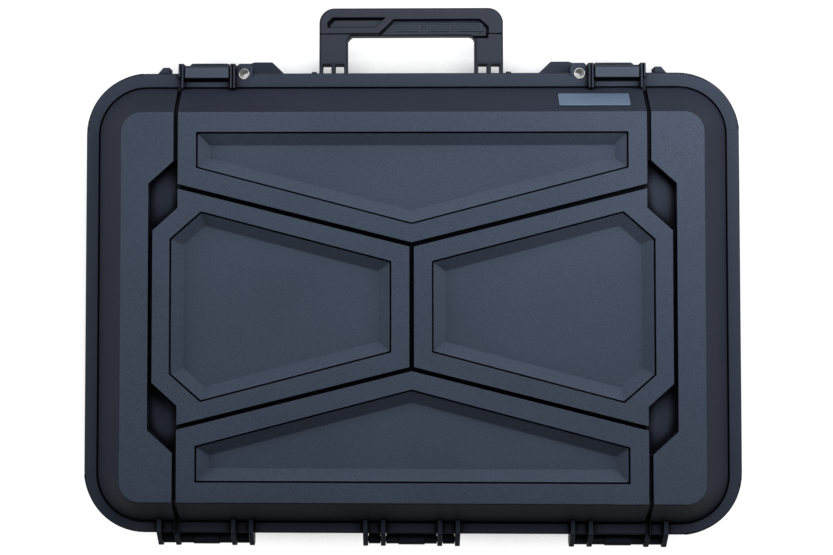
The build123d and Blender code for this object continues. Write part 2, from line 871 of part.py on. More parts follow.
# Base shell: drafted tub, rim flange, hinge knuckles, latch ears, handle ears, padlock lugs and ribs
base_solids = [rounded_plate(case_width, case_depth, rim_corner_radius, 0, base_rim_bottom, base_height)]
base_solids += [gusset_y(x, -1) for x in hinge_side_rib_places]
base_solids += [gusset_y(x, 1) for x in handle_side_rib_places]
base_solids += [gusset_x(y, side) for y in side_rib_places for side in (-1, 1)]
base_holes = []
for place in hinge_places:
    for start, end in base_knuckle_spans:
        base_solids.append(side_profile(base_knuckle, place + start, place + end))
        base_solids.append(cross_rod(hinge_knuckle_radius, hinge_y, hinge_z, place + start, place + end))
    start = place - hinge_barrel_width / 2
    base_solids.append(cross_rod(hinge_barrel_radius, hinge_y, hinge_z, start, start + hinge_barrel_width))
    base_holes.append(hinge_rod(hinge_pin_diameter / 2 + press_gap, place))
for place in latch_places:
    for start in (-latch_ear_outer, latch_ear_inner):
        end = start + latch_ear_thickness
        base_solids.append(side_profile(base_latch_ear, place + start, place + end))
        base_solids.append(cross_rod(latch_ear_radius, latch_y, latch_pin_height, place + start, place + end))
    base_holes.append(latch_rod(latch_pin_diameter / 2 + press_gap, place, latch_ear_outer))
for side in (-1, 1):
    base_solids.append(polygon_prism(sided(base_padlock_lug, side), base_lug_bottom, base_height))
    base_solids.append(polygon_prism(sided(corner_lug, side), base_height - corner_lug_drop, base_height))
    base_solids.append(polygon_prism(sided(bumper, side), base_rim_bottom, base_height))
    for start, end in ear_spans:
        x_start, x_end = sorted((side * start, side * end))
        base_solids.append(side_profile(handle_ear, x_start, x_end))
        base_solids.append(cross_rod(handle_ear_radius, handle_y, handle_pin_height, x_start, x_end))
    x_start, x_end = sorted((side * opening_half, side * handle_half))
    base_holes.append(
        cross_rod(handle_pin_diameter / 2 + press_gap, handle_y, handle_pin_height, x_start, x_end)
    )
    base_holes.append(
        upright_rod(eyelet_radius + press_gap, side * padlock_x, padlock_y, base_lug_bottom, base_height)
    )

with BuildPart() as base_shell:
    add(tub(0.0, base_bottom_chamfer, base_rim_bottom))
    add([bottom_bevel()] + base_solids)
    add(tub(wall, base_floor, base_height), mode=Mode.SUBTRACT)
    base_holes += [polygon_prism(outline, 0, bottom_recess) for outline in bottom_panels]
    add(base_holes, mode=Mode.SUBTRACT)
base_shell.part.label = "base_shell"
export_step(base_shell.part, "parts/base_shell.step")


# Lid shell: rim flange and dome, with panels, pockets and grooves pressed into its face
lid_solids = []
lid_holes = []
for place in hinge_places:
    for rib in lid_hinge_ribs:
        start = place + rib - half_rib
        end = place + rib + half_rib
        lid_solids.append(side_profile(lid_hinge_rib, start, end, 2, hinge_rib_round))
        lid_solids.append(cross_rod(hinge_rib_radius, hinge_y, hinge_z, start, end))
    lid_holes.append(hinge_rod(hinge_pin_diameter / 2 + running_gap, place))
for place in latch_places:
    for start in (-latch_ear_outer, latch_ear_inner):
        end = start + latch_ear_thickness
        lid_solids.append(side_profile(lid_latch_rib, place + start, place + end, 2, latch_ear_round))
        slot_start = place + (start + end - lid_rib_slot_width) / 2
        lid_holes.append(side_profile(lid_rib_slot, slot_start, slot_start + lid_rib_slot_width))
    lid_holes.append(side_profile(hook_slot, place - latch_ear_inner, place + latch_ear_inner))
for side in (-1, 1):
    lid_solids.append(polygon_prism(sided(lid_padlock_lug, side), lid_bottom, lid_rim_top))
    lid_solids.append(polygon_prism(sided(corner_lug, side), lid_bottom, lid_lug_top))
    lid_solids.append(polygon_prism(sided(bumper, side), lid_bottom, lid_lug_top))
    lid_holes.append(
        upright_rod(eyelet_radius + press_gap, side * padlock_x, padlock_y, lid_bottom, lid_rim_top)
    )

# The undersides of the grooves and pockets stand down into the lid
backings = []
cuts = []
for outline in pocket_outlines:
    pocket_floor = lid_top - pocket_depth
    backings.append(pocket_loft(outline, lid_top - wall, pocket_floor - wall, backing_grow, backing_draw))
    cuts.append(pocket_loft(outline, lid_top - pocket_lip_drop, pocket_floor, 0.0, -pocket_wall_run))
    cuts.append(polygon_prism(outline, lid_top - pocket_lip_drop, lid_top))
    cuts.append(pocket_line(outline))
for outline in groove_outlines:
    backings.append(polygon_prism(outline, lid_top - groove_depth - wall, lid_top - wall, backing_grow))
    cuts.append(polygon_prism(outline, lid_top - groove_depth, lid_top))
for outline in recess_outlines:
    backings.append(polygon_prism(outline, lid_top - recess_depth - wall, lid_top - wall, backing_grow))
    cuts.append(polygon_prism(outline, lid_top - recess_depth, lid_top))
for outline in slot_outlines:
    backings.append(slot_backing(slot_shell(outline, slope_groove_depth + wall, backing_grow)))
    cuts.append(slot_shell(outline, slope_groove_depth))

with BuildPart() as lid_shell:
    with BuildSketch(Plane.XY.offset(lid_bottom)):
        RectangleRounded(case_width, case_depth, rim_corner_radius)
    extrude(amount=lid_rim_top - lid_bottom)
    fillet(lid_shell.faces().sort_by(Axis.Z)[-1].edges(), radius=rim_edge_round)
    add(dome(0.0))
    fillet(lid_shell.faces().sort_by(Axis.Z)[-1].edges(), radius=face_edge_round)
    with BuildSketch(Plane.XY.offset(lid_rim_top - foot_groove_depth)):
        with Locations((0, body_y)):
            RectangleRounded(
                body_width + 2 * foot_groove_width,
                body_depth + 2 * foot_groove_width,
                body_corner_radius + foot_groove_width,
            )
            RectangleRounded(body_width, body_depth, body_corner_radius, mode=Mode.SUBTRACT)
    extrude(amount=foot_groove_depth, mode=Mode.SUBTRACT)
    add(lid_solids)
    inner_rim = rounded_plate(
        body_width - 2 * wall,
        body_depth - 2 * wall,
        body_corner_radius - wall,
        body_y,
        lid_bottom,
        lid_rim_top,
    )
    add([dome(wall), inner_rim], mode=Mode.SUBTRACT)
    add(backings)
    seal_groove = ring(
        gasket_inset - gasket_side_gap, gasket_width + 2 * gasket_side_gap, lid_bottom, gasket_top
    )
    add(cuts + lid_holes + [seal_groove], mode=Mode.SUBTRACT)
lid_shell.part.label = "lid_shell"
export_step(lid_shell.part, "parts/lid_shell.step")


# Soft seal in the lid's groove
with BuildPart() as rim_gasket:
    add(ring(gasket_inset, gasket_width, base_height + gasket_gap, gasket_top))
rim_gasket.part.label = "rim_gasket"
export_step(rim_gasket.part, "parts/rim_gasket.step")

# Hinge pins, pressed into the base's knuckles
for name, place in zip(("left", "middle", "right"), hinge_places):
    with BuildPart() as hinge_pin:
        add(hinge_rod(hinge_pin_diameter / 2, place))
        chamfer(hinge_pin.edges().filter_by(GeomType.CIRCLE), length=pin_chamfer)
    hinge_pin.part.label = "hinge_pin_" + name
    export_step(hinge_pin.part, "parts/hinge_pin_" + name + ".step")

# Latches and their pins
for name, place in zip(("left", "right"), latch_places):
    with BuildPart() as latch:
        add(side_profile(latch_plate, place - latch_plate_width / 2, place + latch_plate_width / 2))
        add(latch_rod(latch_barrel_radius, place, latch_barrel_width / 2))
        with BuildSketch(Plane.XY.offset(latch_pull_bottom)) as pull:
            with Locations((place, latch_plate_face)):
                Rectangle(
                    latch_pull_width, latch_pull_out - latch_plate_out, align=(Align.CENTER, Align.MIN)
                )
            fillet(pull.vertices().group_by(Axis.Y)[-1], radius=latch_pull_corner)
        extrude(amount=latch_pull_height)
        with BuildSketch(Plane.XZ.offset(-latch_plate_face)):
            for row in range(latch_groove_count):
                with Locations((place, latch_groove_start + row * latch_groove_pitch)):
                    SlotOverall(latch_groove_length, latch_groove_width)
        extrude(amount=latch_groove_depth, mode=Mode.SUBTRACT)
        hole = latch_rod(latch_pin_diameter / 2 + running_gap, place, latch_barrel_width / 2)
        add(hole, mode=Mode.SUBTRACT)
    latch.part.label = "latch_" + name
    export_step(latch.part, "parts/latch_" + name + ".step")
    with BuildPart() as latch_pin:
        add(latch_rod(latch_pin_diameter / 2, place, latch_ear_outer))
        chamfer(latch_pin.edges().filter_by(GeomType.CIRCLE), length=pin_chamfer)
    latch_pin.part.label = "latch_pin_" + name
    export_step(latch_pin.part, "parts/latch_pin_" + name + ".step")

# The handle's whole outer form, which its frame and covers are cut from
with BuildPart() as handle_form:
    with BuildSketch(Plane.XY.offset(handle_bottom)) as handle_outline:
        with BuildLine():
            Polyline(
                (-handle_half, handle_y - handle_pivot_radius),
                (-handle_half, handle_y + handle_reach),
                (handle_half, handle_y + handle_reach),
                (handle_half, handle_y - handle_pivot_radius),
                (opening_half, handle_y - handle_pivot_radius),
                (opening_half, handle_y + opening_top),
                (-opening_half, handle_y + opening_top),
                (-opening_half, handle_y - handle_pivot_radius),
                close=True,
            )
        make_face()
        fillet(
            handle_outline.vertices().group_by(Axis.Y)[-1],
            radius=handle_corner_radius,
        )
        chamfer(
            handle_outline.vertices().sort_by_distance((-opening_half, handle_y + opening_top))[0],
            length=handle_inner_chamfer,
        )
        fillet(
            handle_outline.vertices().sort_by_distance((opening_half, handle_y + opening_top))[0],
            radius=handle_inner_round,
        )
    extrude(amount=handle_thickness)
    fillet(
        handle_form.faces().sort_by(Axis.Z)[-1].edges() + handle_form.faces().sort_by(Axis.Z)[0].edges(),
        radius=handle_edge_round,
    )
    with BuildSketch(Plane.YZ.offset(-handle_half)):
        with BuildLine():
            Polyline(*handle_taper, close=True)
        make_face()
        with Locations((handle_y, handle_pin_height)):
            Circle(handle_pivot_radius)
    extrude(amount=handle_width, mode=Mode.INTERSECT)

with BuildPart() as handle_frame:
    add(handle_form.part)
    add(polygon_prism(cover_outline, handle_top - cover_thickness, handle_top), mode=Mode.SUBTRACT)
    add(
        polygon_prism(mirrored(cover_outline, True, False), handle_bottom, handle_bottom + cover_thickness),
        mode=Mode.SUBTRACT,
    )
    for side in (-1, 1):
        for start, end in gap_spans:
            window = [
                (side * start, handle_y - handle_pivot_radius),
                (side * end, handle_y - handle_pivot_radius),
                (side * end, handle_y + handle_window_end),
                (side * start, handle_y + handle_window_end),
            ]
            add(polygon_prism(window, handle_bottom, handle_top), mode=Mode.SUBTRACT)
        x_start, x_end = sorted((side * opening_half, side * handle_half))
        hole = cross_rod(handle_pin_diameter / 2 + running_gap, handle_y, handle_pin_height, x_start, x_end)
        add(hole, mode=Mode.SUBTRACT)
    add(polygon_prism(grip_land, land_top, handle_top), mode=Mode.SUBTRACT)
    add(polygon_prism(mirrored(grip_land, True, False), handle_bottom, land_bottom), mode=Mode.SUBTRACT)
    add([cover_step(), turned_over(cover_step())], mode=Mode.SUBTRACT)
    for start, end in grip_pad_spans:
        pad = grip_outline(start, end)
        add(polygon_prism(pad, land_top - grip_pad_depth, handle_top), mode=Mode.SUBTRACT)
        add(
            polygon_prism(mirrored(pad, True, False), handle_bottom, land_bottom + grip_pad_depth),
            mode=Mode.SUBTRACT,
        )
handle_frame.part.label = "handle_frame"
export_step(handle_frame.part, "parts/handle_frame.step")

with BuildPart() as handle_cover_front:
    add(handle_form.part)
    slab = polygon_prism(cover_outline, handle_top - cover_thickness, handle_top, -cover_gap)
    add(slab, mode=Mode.INTERSECT)
    add(polygon_prism(cover_recess, handle_top - cover_recess_depth, handle_top), mode=Mode.SUBTRACT)
    add(cover_recess_line(), mode=Mode.SUBTRACT)
handle_cover_front.part.label = "handle_cover_front"
export_step(handle_cover_front.part, "parts/handle_cover_front.step")

with BuildPart() as handle_cover_back:
    add(handle_form.part)
    back_outline = mirrored(cover_outline, True, False)
    slab = polygon_prism(back_outline, handle_bottom, handle_bottom + cover_thickness, -cover_gap)
    add(slab, mode=Mode.INTERSECT)
    back_recess = mirrored(cover_recess, True, False)
    add(polygon_prism(back_recess, handle_bottom, handle_bottom + cover_recess_depth), mode=Mode.SUBTRACT)
    add(turned_over(cover_recess_line()), mode=Mode.SUBTRACT)
handle_cover_back.part.label = "handle_cover_back"
export_step(handle_cover_back.part, "parts/handle_cover_back.step")

# Ribbed soft pads let into both faces of the grip
with BuildPart() as grip_pads_front:
    for start, end in grip_pad_spans:
        add(polygon_prism(grip_outline(start, end), land_top - grip_pad_depth, pad_top - grip_rib_height))
        for row in range(grip_rib_count):
            add(polygon_prism(grip_rib(start, end, row), pad_top - grip_rib_height, pad_top))
grip_pads_front.part.label = "grip_pads_front"
export_step(grip_pads_front.part, "parts/grip_pads_front.step")

with BuildPart() as grip_pads_back:
    for start, end in grip_pad_spans:
        pad = mirrored(grip_outline(start, end), True, False)
        add(polygon_prism(pad, pad_bottom + grip_rib_height, land_bottom + grip_pad_depth))
        for row in range(grip_rib_count):
            rib = mirrored(grip_rib(start, end, row), True, False)
            add(polygon_prism(rib, pad_bottom, pad_bottom + grip_rib_height))
grip_pads_back.part.label = "grip_pads_back"
export_step(grip_pads_back.part, "parts/grip_pads_back.step")

for name, side in (("left", -1), ("right", 1)):
    x_start, x_end = sorted((side * handle_pin_start, side * handle_pin_end))
    with BuildPart() as handle_pin:
        add(cross_rod(handle_pin_diameter / 2, handle_y, handle_pin_height, x_start, x_end))
        chamfer(handle_pin.edges().filter_by(GeomType.CIRCLE), length=pin_chamfer)
    handle_pin.part.label = "handle_pin_" + name
    export_step(handle_pin.part, "parts/handle_pin_" + name + ".step")

# Metal eyelets that line the padlock holes of the lid and the base
for name, side in (("left", -1), ("right", 1)):
    for owner, bottom, top in (
        ("lid", lid_bottom, lid_rim_top + eyelet_proud),
        ("base", base_lug_bottom - eyelet_proud, base_height),
    ):
        with BuildPart() as eyelet:
            add(upright_rod(eyelet_radius, side * padlock_x, padlock_y, bottom, top))
            bore = upright_rod(padlock_bore_radius, side * padlock_x, padlock_y, bottom, top)
            add(bore, mode=Mode.SUBTRACT)
        eyelet.part.label = owner + "_eyelet_" + name
        export_step(eyelet.part, "parts/" + owner + "_eyelet_" + name + ".step")

# Foam: a plain pad on the floor, a tray with pockets for the knives, and a pad in the lid
with BuildPart() as base_foam_pad:
    add(tub(wall + foam_gap, base_floor + tray_gap, base_pad_top))
base_foam_pad.part.label = "base_foam_pad"
export_step(base_foam_pad.part, "parts/base_foam_pad.step")

with BuildPart() as base_foam_tray:
    add(tub(wall + foam_gap, base_pad_top + tray_gap, tray_top))
    with BuildSketch(Plane.XY.offset(base_pad_top + tray_gap)):
        for row in range(knife_count):
            place_y = body_y + (row - (knife_count - 1) / 2) * knife_pitch
            turn = 1 if row % 2 else -1
            with Locations((0, place_y)):
                SlotOverall(knife_pocket_length, knife_blade_width)
            with Locations((turn * (knife_pocket_length - knife_handle_length) / 2, place_y)):
                SlotOverall(knife_handle_length, knife_handle_width)
            with Locations((turn * finger_notch_x, place_y)):
                Circle(finger_notch / 2)
    extrude(amount=tray_thickness, mode=Mode.SUBTRACT)
base_foam_tray.part.label = "base_foam_tray"
export_step(base_foam_tray.part, "parts/base_foam_tray.step")

with BuildPart() as lid_foam:
    add(dome(slope_groove_depth + wall + foam_gap))
    foam_inset = wall + foam_gap
    add(
        rounded_plate(
            body_width - 2 * foam_inset,
            body_depth - 2 * foam_inset,
            body_corner_radius - foam_inset,
            body_y,
            lid_foam_bottom,
            lid_rim_top,
        )
    )
    with BuildSketch(Plane.XY.offset(lid_foam_top)):
        Rectangle(case_width, case_depth)
    extrude(amount=lid_height, mode=Mode.SUBTRACT)
lid_foam.part.label = "lid_foam"
export_step(lid_foam.part, "parts/lid_foam.step")

# Bare metal badge on the handle-side slope of the lid
with BuildPart() as badge_plate:
    with BuildSketch(slope_plane):
        with Locations((0, -badge_rise)):
            RectangleRounded(badge_width, badge_height, badge_corner)
    extrude(amount=badge_thickness)
badge_plate.part.label = "badge_plate"
export_step(badge_plate.part, "parts/badge_plate.step")
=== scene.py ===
"""Looks of a hard moulded knife case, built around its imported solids. Lengths are metres."""

import logging
import math
from dataclasses import dataclass
from enum import Enum

import bmesh
import bpy
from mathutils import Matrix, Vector


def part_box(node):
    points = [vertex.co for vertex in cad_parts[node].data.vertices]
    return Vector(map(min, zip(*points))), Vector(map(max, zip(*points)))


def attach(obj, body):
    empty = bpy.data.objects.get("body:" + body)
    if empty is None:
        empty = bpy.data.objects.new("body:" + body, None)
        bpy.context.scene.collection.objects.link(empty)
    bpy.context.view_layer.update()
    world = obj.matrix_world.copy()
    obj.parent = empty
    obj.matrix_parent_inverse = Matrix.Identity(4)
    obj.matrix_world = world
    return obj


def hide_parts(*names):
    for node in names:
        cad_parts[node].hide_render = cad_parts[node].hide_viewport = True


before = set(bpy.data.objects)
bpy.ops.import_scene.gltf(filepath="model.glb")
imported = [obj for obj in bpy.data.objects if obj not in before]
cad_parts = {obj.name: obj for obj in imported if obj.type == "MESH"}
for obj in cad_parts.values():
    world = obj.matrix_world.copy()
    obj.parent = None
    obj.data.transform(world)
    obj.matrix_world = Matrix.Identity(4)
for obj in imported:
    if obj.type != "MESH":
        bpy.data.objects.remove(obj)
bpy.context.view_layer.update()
log = logging.getLogger("knife_case")

MM = 0.001
Colour = tuple[float, float, float]
Span = tuple[float, float]
BLACK: Colour = (0.0, 0.0, 0.0)
WHITE: Colour = (1.0, 1.0, 1.0)

# The sRGB curve, which turns a screen's values into light.
SCREEN_FULL = 255
SRGB_FOOT = 0.04045
SRGB_FOOT_SLOPE = 12.92
SRGB_OFFSET = 0.055
SRGB_POWER = 2.4


class Body(Enum):
    """The bodies that pieces ride on."""

    BASE = "base"
    LID = "lid"
    LATCH_LEFT = "latch_left"
    LATCH_RIGHT = "latch_right"
    HANDLE = "handle"


class Slot(Enum):
    """The record's material slots."""

    SHELL = "shell_plastic"
    LATCH = "latch_plastic"
    HANDLE = "handle_plastic"
    GRIP = "grip_rubber"
    PIN = "pin_steel"
    EYELET = "eyelet_steel"
    SEAL = "seal_rubber"
    FOAM = "foam"
    BADGE = "badge"


def display(red: int, green: int, blue: int) -> Colour:
    """A colour as it is seen on a screen, from 0 to 255, turned into the shader's linear values.

    Args:
        red: red part.
        green: green part.
        blue: blue part.

    Returns:
        The linear colour.
    """
    linear = []
    for part in (red, green, blue):
        share = part / SCREEN_FULL
        if share <= SRGB_FOOT:
            linear.append(share / SRGB_FOOT_SLOPE)
        else:
            linear.append(((share + SRGB_OFFSET) / (1.0 + SRGB_OFFSET)) ** SRGB_POWER)
    return linear[0], linear[1], linear[2]


def mixed(first: Colour, second: Colour, share: float) -> Colour:
    """A colour between two others.

    Args:
        first: the colour at share 0.
        second: the colour at share 1.
        share: how far towards the second.

    Returns:
        The colour in between.
    """
    parts = [a + (b - a) * share for a, b in zip(first, second)]
    return parts[0], parts[1], parts[2]


class Wiring:
    """A node tree with short calls for adding and joining nodes."""

    # Where the Mix node keeps its colour sockets: factor, A and B, and the result.
    mix_inputs = (0, 6, 7)
    mix_output = 2

    def __init__(self, tree: bpy.types.NodeTree) -> None:
        """Starts with an empty tree.

        Args:
            tree: the node tree to fill.
        """
        self.tree = tree
        tree.nodes.clear()

    def add(self, kind: str, **settings: object) -> bpy.types.Node:
        """Adds a node.

        Args:
            kind: the node's type name.
            settings: values of the node's own properties.

        Returns:
            The new node.
        """
        node = self.tree.nodes.new(kind)
        for name, value in settings.items():
            setattr(node, name, value)
        return node

    def join(self, source: bpy.types.NodeSocket, target: bpy.types.NodeSocket) -> None:
        """Joins an output to an input.

        Args:
            source: the output socket.
            target: the input socket.
        """
        self.tree.links.new(source, target)

    def feed(self, target: bpy.types.NodeSocket, value: object) -> None:
        """Gives an input its value.

        Args:
            target: the input socket.
            value: a number, a colour or an output socket.
        """
        if isinstance(value, bpy.types.NodeSocket):
            self.join(value, target)
        elif isinstance(value, tuple):
            target.default_value = (*value, 1.0)
        else:
            target.default_value = value

    def math(
        self, operation: str, first: object, second: object = 0.0, clamp: bool = False
    ) -> bpy.types.NodeSocket:
        """Adds a Math node.

        Args:
            operation: what it does.
            first: a number or an output socket.
            second: a number or an output socket.
            clamp: keeps the result from 0 to 1.

        Returns:
            The node's output socket.
        """
        node = self.add("ShaderNodeMath", operation=operation, use_clamp=clamp)
        for place, value in enumerate((first, second)):
            self.feed(node.inputs[place], value)
        return node.outputs[0]

    def blend(self, share: object, first: object, second: object, how: str = "MIX") -> bpy.types.NodeSocket:
        """Adds a Mix node for colours.

        Args:
            share: the factor, a number or an output socket.
            first: a colour or an output socket.
            second: a colour or an output socket.
            how: the way the two are mixed.

        Returns:
            The node's colour output.
        """
        node = self.add("ShaderNodeMix", data_type="RGBA", blend_type=how)
        for place, value in zip(self.mix_inputs, (share, first, second)):
            self.feed(node.inputs[place], value)
        return node.outputs[self.mix_output]

    def ramp(self, source: bpy.types.NodeSocket, low: object, high: object) -> bpy.types.NodeSocket:
        """Maps a value smoothly from low and high to 0 and 1.

        Args:
            source: the value.
            low: what becomes 0, a number or an output socket.
            high: what becomes 1, a number or an output socket.

        Returns:
            The mapped value.
        """
        node = self.add("ShaderNodeMapRange", interpolation_type="SMOOTHSTEP")
        self.join(source, node.inputs["Value"])
        self.feed(node.inputs["From Min"], low)
        self.feed(node.inputs["From Max"], high)
        return node.outputs["Result"]

    def bump(self, height: bpy.types.NodeSocket, strength: float, depth: float) -> bpy.types.NodeSocket:
        """Adds a Bump node.

        Args:
            height: the height, from 0 to 1.
            strength: how much of it shows.
            depth: how far the height reaches.

        Returns:
            The node's normal output.
        """
        node = self.add("ShaderNodeBump")
        node.inputs["Strength"].default_value = strength
        node.inputs["Distance"].default_value = depth
        self.join(height, node.inputs["Height"])
        return node.outputs["Normal"]


class EffectGroup:
    """A shader node group with named inputs and outputs, built once."""

    name = "effect"
    inputs: tuple[tuple[str, str, object], ...] = ()
    outputs: tuple[tuple[str, str], ...] = ()

    @classmethod
    def tree(cls) -> bpy.types.NodeTree:
        """Gives the group's node tree, and builds it at the first call."""
        found = bpy.data.node_groups.get(cls.name)
        if found:
            return found
        tree = bpy.data.node_groups.new(cls.name, "ShaderNodeTree")
        wiring = Wiring(tree)
        for label, kind, value in cls.inputs:
            socket = tree.interface.new_socket(name=label, in_out="INPUT", socket_type=kind)
            socket.default_value = value
        for label, kind in cls.outputs:
            tree.interface.new_socket(name=label, in_out="OUTPUT", socket_type=kind)
        source = wiring.add("NodeGroupInput")
        target = wiring.add("NodeGroupOutput")
        cls.fill(wiring, source, target)
        return tree

    @classmethod
    def fill(cls, wiring: Wiring, source: bpy.types.Node, target: bpy.types.Node) -> None:
        """Adds the group's own nodes.

        Args:
            wiring: the group's tree.
            source: the group's input node.
            target: the group's output node.
        """
        raise NotImplementedError

    @classmethod
    def place(cls, wiring: Wiring, **values: object) -> bpy.types.Node:
        """Places the group in a material.

        Args:
            wiring: the material's tree.
            values: input values by name, with _ for a space.

        Returns:
            The group node.
        """
        node = wiring.add("ShaderNodeGroup", node_tree=cls.tree())
        for name, value in values.items():
            wiring.feed(node.inputs[name.replace("_", " ")], value)
        return node


class MouldedGrain(EffectGroup):
    """The fine spark-eroded texture of a moulded part: a height and a speckle mask."""

    name = "moulded_grain"
    inputs = (("Cells per metre", "NodeSocketFloat", 1500.0),)
    outputs = (("Height", "NodeSocketFloat"), ("Speckle", "NodeSocketFloat"))
    detail = 3.0
    roundness = 0.6
    speckle_span: Span = (0.32, 0.68)

    @classmethod
    def fill(cls, wiring: Wiring, source: bpy.types.Node, target: bpy.types.Node) -> None:
        """Adds the grain's noise and cells. See EffectGroup.fill."""
        place = wiring.add("ShaderNodeTexCoord")
        cells = wiring.add("ShaderNodeTexVoronoi", feature="SMOOTH_F1")
        noise = wiring.add("ShaderNodeTexNoise")
        noise.inputs["Detail"].default_value = cls.detail
        cells.inputs["Smoothness"].default_value = cls.roundness
        for node in (cells, noise):
            wiring.join(place.outputs["Object"], node.inputs["Vector"])
            wiring.join(source.outputs["Cells per metre"], node.inputs["Scale"])
        height = wiring.math("ADD", cells.outputs["Distance"], noise.outputs["Fac"])
        wiring.join(height, target.inputs["Height"])
        wiring.join(wiring.ramp(noise.outputs["Fac"], *cls.speckle_span), target.inputs["Speckle"])


class HandledPatches(EffectGroup):
    """Broad, soft patches where a surface has been handled or has settled dust."""

    name = "handled_patches"
    inputs = (("Patches per metre", "NodeSocketFloat", 9.0),)
    outputs = (("Mask", "NodeSocketFloat"),)
    detail = 4.0
    distortion = 0.6
    patch_span: Span = (0.3, 0.7)

    @classmethod
    def fill(cls, wiring: Wiring, source: bpy.types.Node, target: bpy.types.Node) -> None:
        """Adds the patches' noise. See EffectGroup.fill."""
        place = wiring.add("ShaderNodeTexCoord")
        noise = wiring.add("ShaderNodeTexNoise")
        noise.inputs["Detail"].default_value = cls.detail
        noise.inputs["Distortion"].default_value = cls.distortion
        wiring.join(place.outputs["Object"], noise.inputs["Vector"])
        wiring.join(source.outputs["Patches per metre"], noise.inputs["Scale"])
        wiring.join(wiring.ramp(noise.outputs["Fac"], *cls.patch_span), target.inputs["Mask"])


class EdgeHighlightBand(EffectGroup):
    """A mask of the narrow band along edges, broken up by noise: a painted highlight and a smoother finish
    there.
    """

    name = "edge_highlight_band"
    inputs = (("Band width", "NodeSocketFloat", 0.8 * MM),)
    outputs = (("Mask", "NodeSocketFloat"),)
    samples = 6
    bend_span: Span = (0.01, 0.16)
    breaks_per_metre = 240.0
    break_span: Span = (0.3, 0.62)

    @classmethod
    def fill(cls, wiring: Wiring, source: bpy.types.Node, target: bpy.types.Node) -> None:
        """Compares the surface with a rounded copy of itself. See EffectGroup.fill."""
        rounded = wiring.add("ShaderNodeBevel", samples=cls.samples)
        wiring.join(source.outputs["Band width"], rounded.inputs["Radius"])
        surface = wiring.add("ShaderNodeNewGeometry")
        turned = wiring.add("ShaderNodeVectorMath", operation="DOT_PRODUCT")
        wiring.join(rounded.outputs["Normal"], turned.inputs[0])
        wiring.join(surface.outputs["Normal"], turned.inputs[1])
        bent = wiring.math("SUBTRACT", 1.0, turned.outputs["Value"], clamp=True)
        band = wiring.ramp(bent, *cls.bend_span)
        place = wiring.add("ShaderNodeTexCoord")
        breaks = wiring.add("ShaderNodeTexNoise")
        breaks.inputs["Scale"].default_value = cls.breaks_per_metre
        wiring.join(place.outputs["Object"], breaks.inputs["Vector"])
        kept = wiring.ramp(breaks.outputs["Fac"], *cls.break_span)
        wiring.join(wiring.math("MULTIPLY", band, kept), target.inputs["Mask"])


class RecessShade(EffectGroup):
    """A mask for painted shade: how far the piece's own walls shut a surface in, as in grooves and concave
    corners.
    """

    name = "recess_shade"
    inputs = (
        ("Reach", "NodeSocketFloat", 9.0 * MM),
        ("Open from", "NodeSocketFloat", 0.93),
        ("Closed from", "NodeSocketFloat", 0.58),
    )
    outputs = (("Mask", "NodeSocketFloat"),)
    samples = 8

    @classmethod
    def fill(cls, wiring: Wiring, source: bpy.types.Node, target: bpy.types.Node) -> None:
        """Looks around each point as far as the reach. See EffectGroup.fill."""
        around = wiring.add("ShaderNodeAmbientOcclusion", samples=cls.samples, only_local=True)
        wiring.join(source.outputs["Reach"], around.inputs["Distance"])
        limits = source.outputs["Open from"], source.outputs["Closed from"]
        wiring.join(wiring.ramp(around.outputs["AO"], *limits), target.inputs["Mask"])


class RaisedFace(EffectGroup):
    """Which part of a moulding stands above a height, such as the lid's face or its recess floors."""

    name = "raised_face"
    inputs = (("Low until", "NodeSocketFloat", 79.0 * MM), ("High from", "NodeSocketFloat", 85.0 * MM))
    outputs = (("Mask", "NodeSocketFloat"),)

    @classmethod
    def fill(cls, wiring: Wiring, source: bpy.types.Node, target: bpy.types.Node) -> None:
        """Maps the piece's own height. See EffectGroup.fill."""
        place = wiring.add("ShaderNodeTexCoord")
        parts = wiring.add("ShaderNodeSeparateXYZ")
        wiring.join(place.outputs["Object"], parts.inputs[0])
        limits = source.outputs["Low until"], source.outputs["High from"]
        wiring.join(wiring.ramp(parts.outputs["Z"], *limits), target.inputs["Mask"])


class SteepSides(EffectGroup):
    """How far a surface is turned away from the lid's face, read on the piece itself; the mask carries
    painted shade on steep sides.
    """

    name = "steep_sides"
    inputs = (("Flat from", "NodeSocketFloat", 0.93), ("Steep from", "NodeSocketFloat", 0.74))
    outputs = (("Mask", "NodeSocketFloat"),)

    @classmethod
    def fill(cls, wiring: Wiring, source: bpy.types.Node, target: bpy.types.Node) -> None:
        """Maps the piece's own upward normal. See EffectGroup.fill."""
        place = wiring.add("ShaderNodeTexCoord")
        parts = wiring.add("ShaderNodeSeparateXYZ")
        wiring.join(place.outputs["Normal"], parts.inputs[0])
        upward = wiring.math("ABSOLUTE", parts.outputs["Z"])
        limits = source.outputs["Flat from"], source.outputs["Steep from"]
        wiring.join(wiring.ramp(upward, *limits), target.inputs["Mask"])


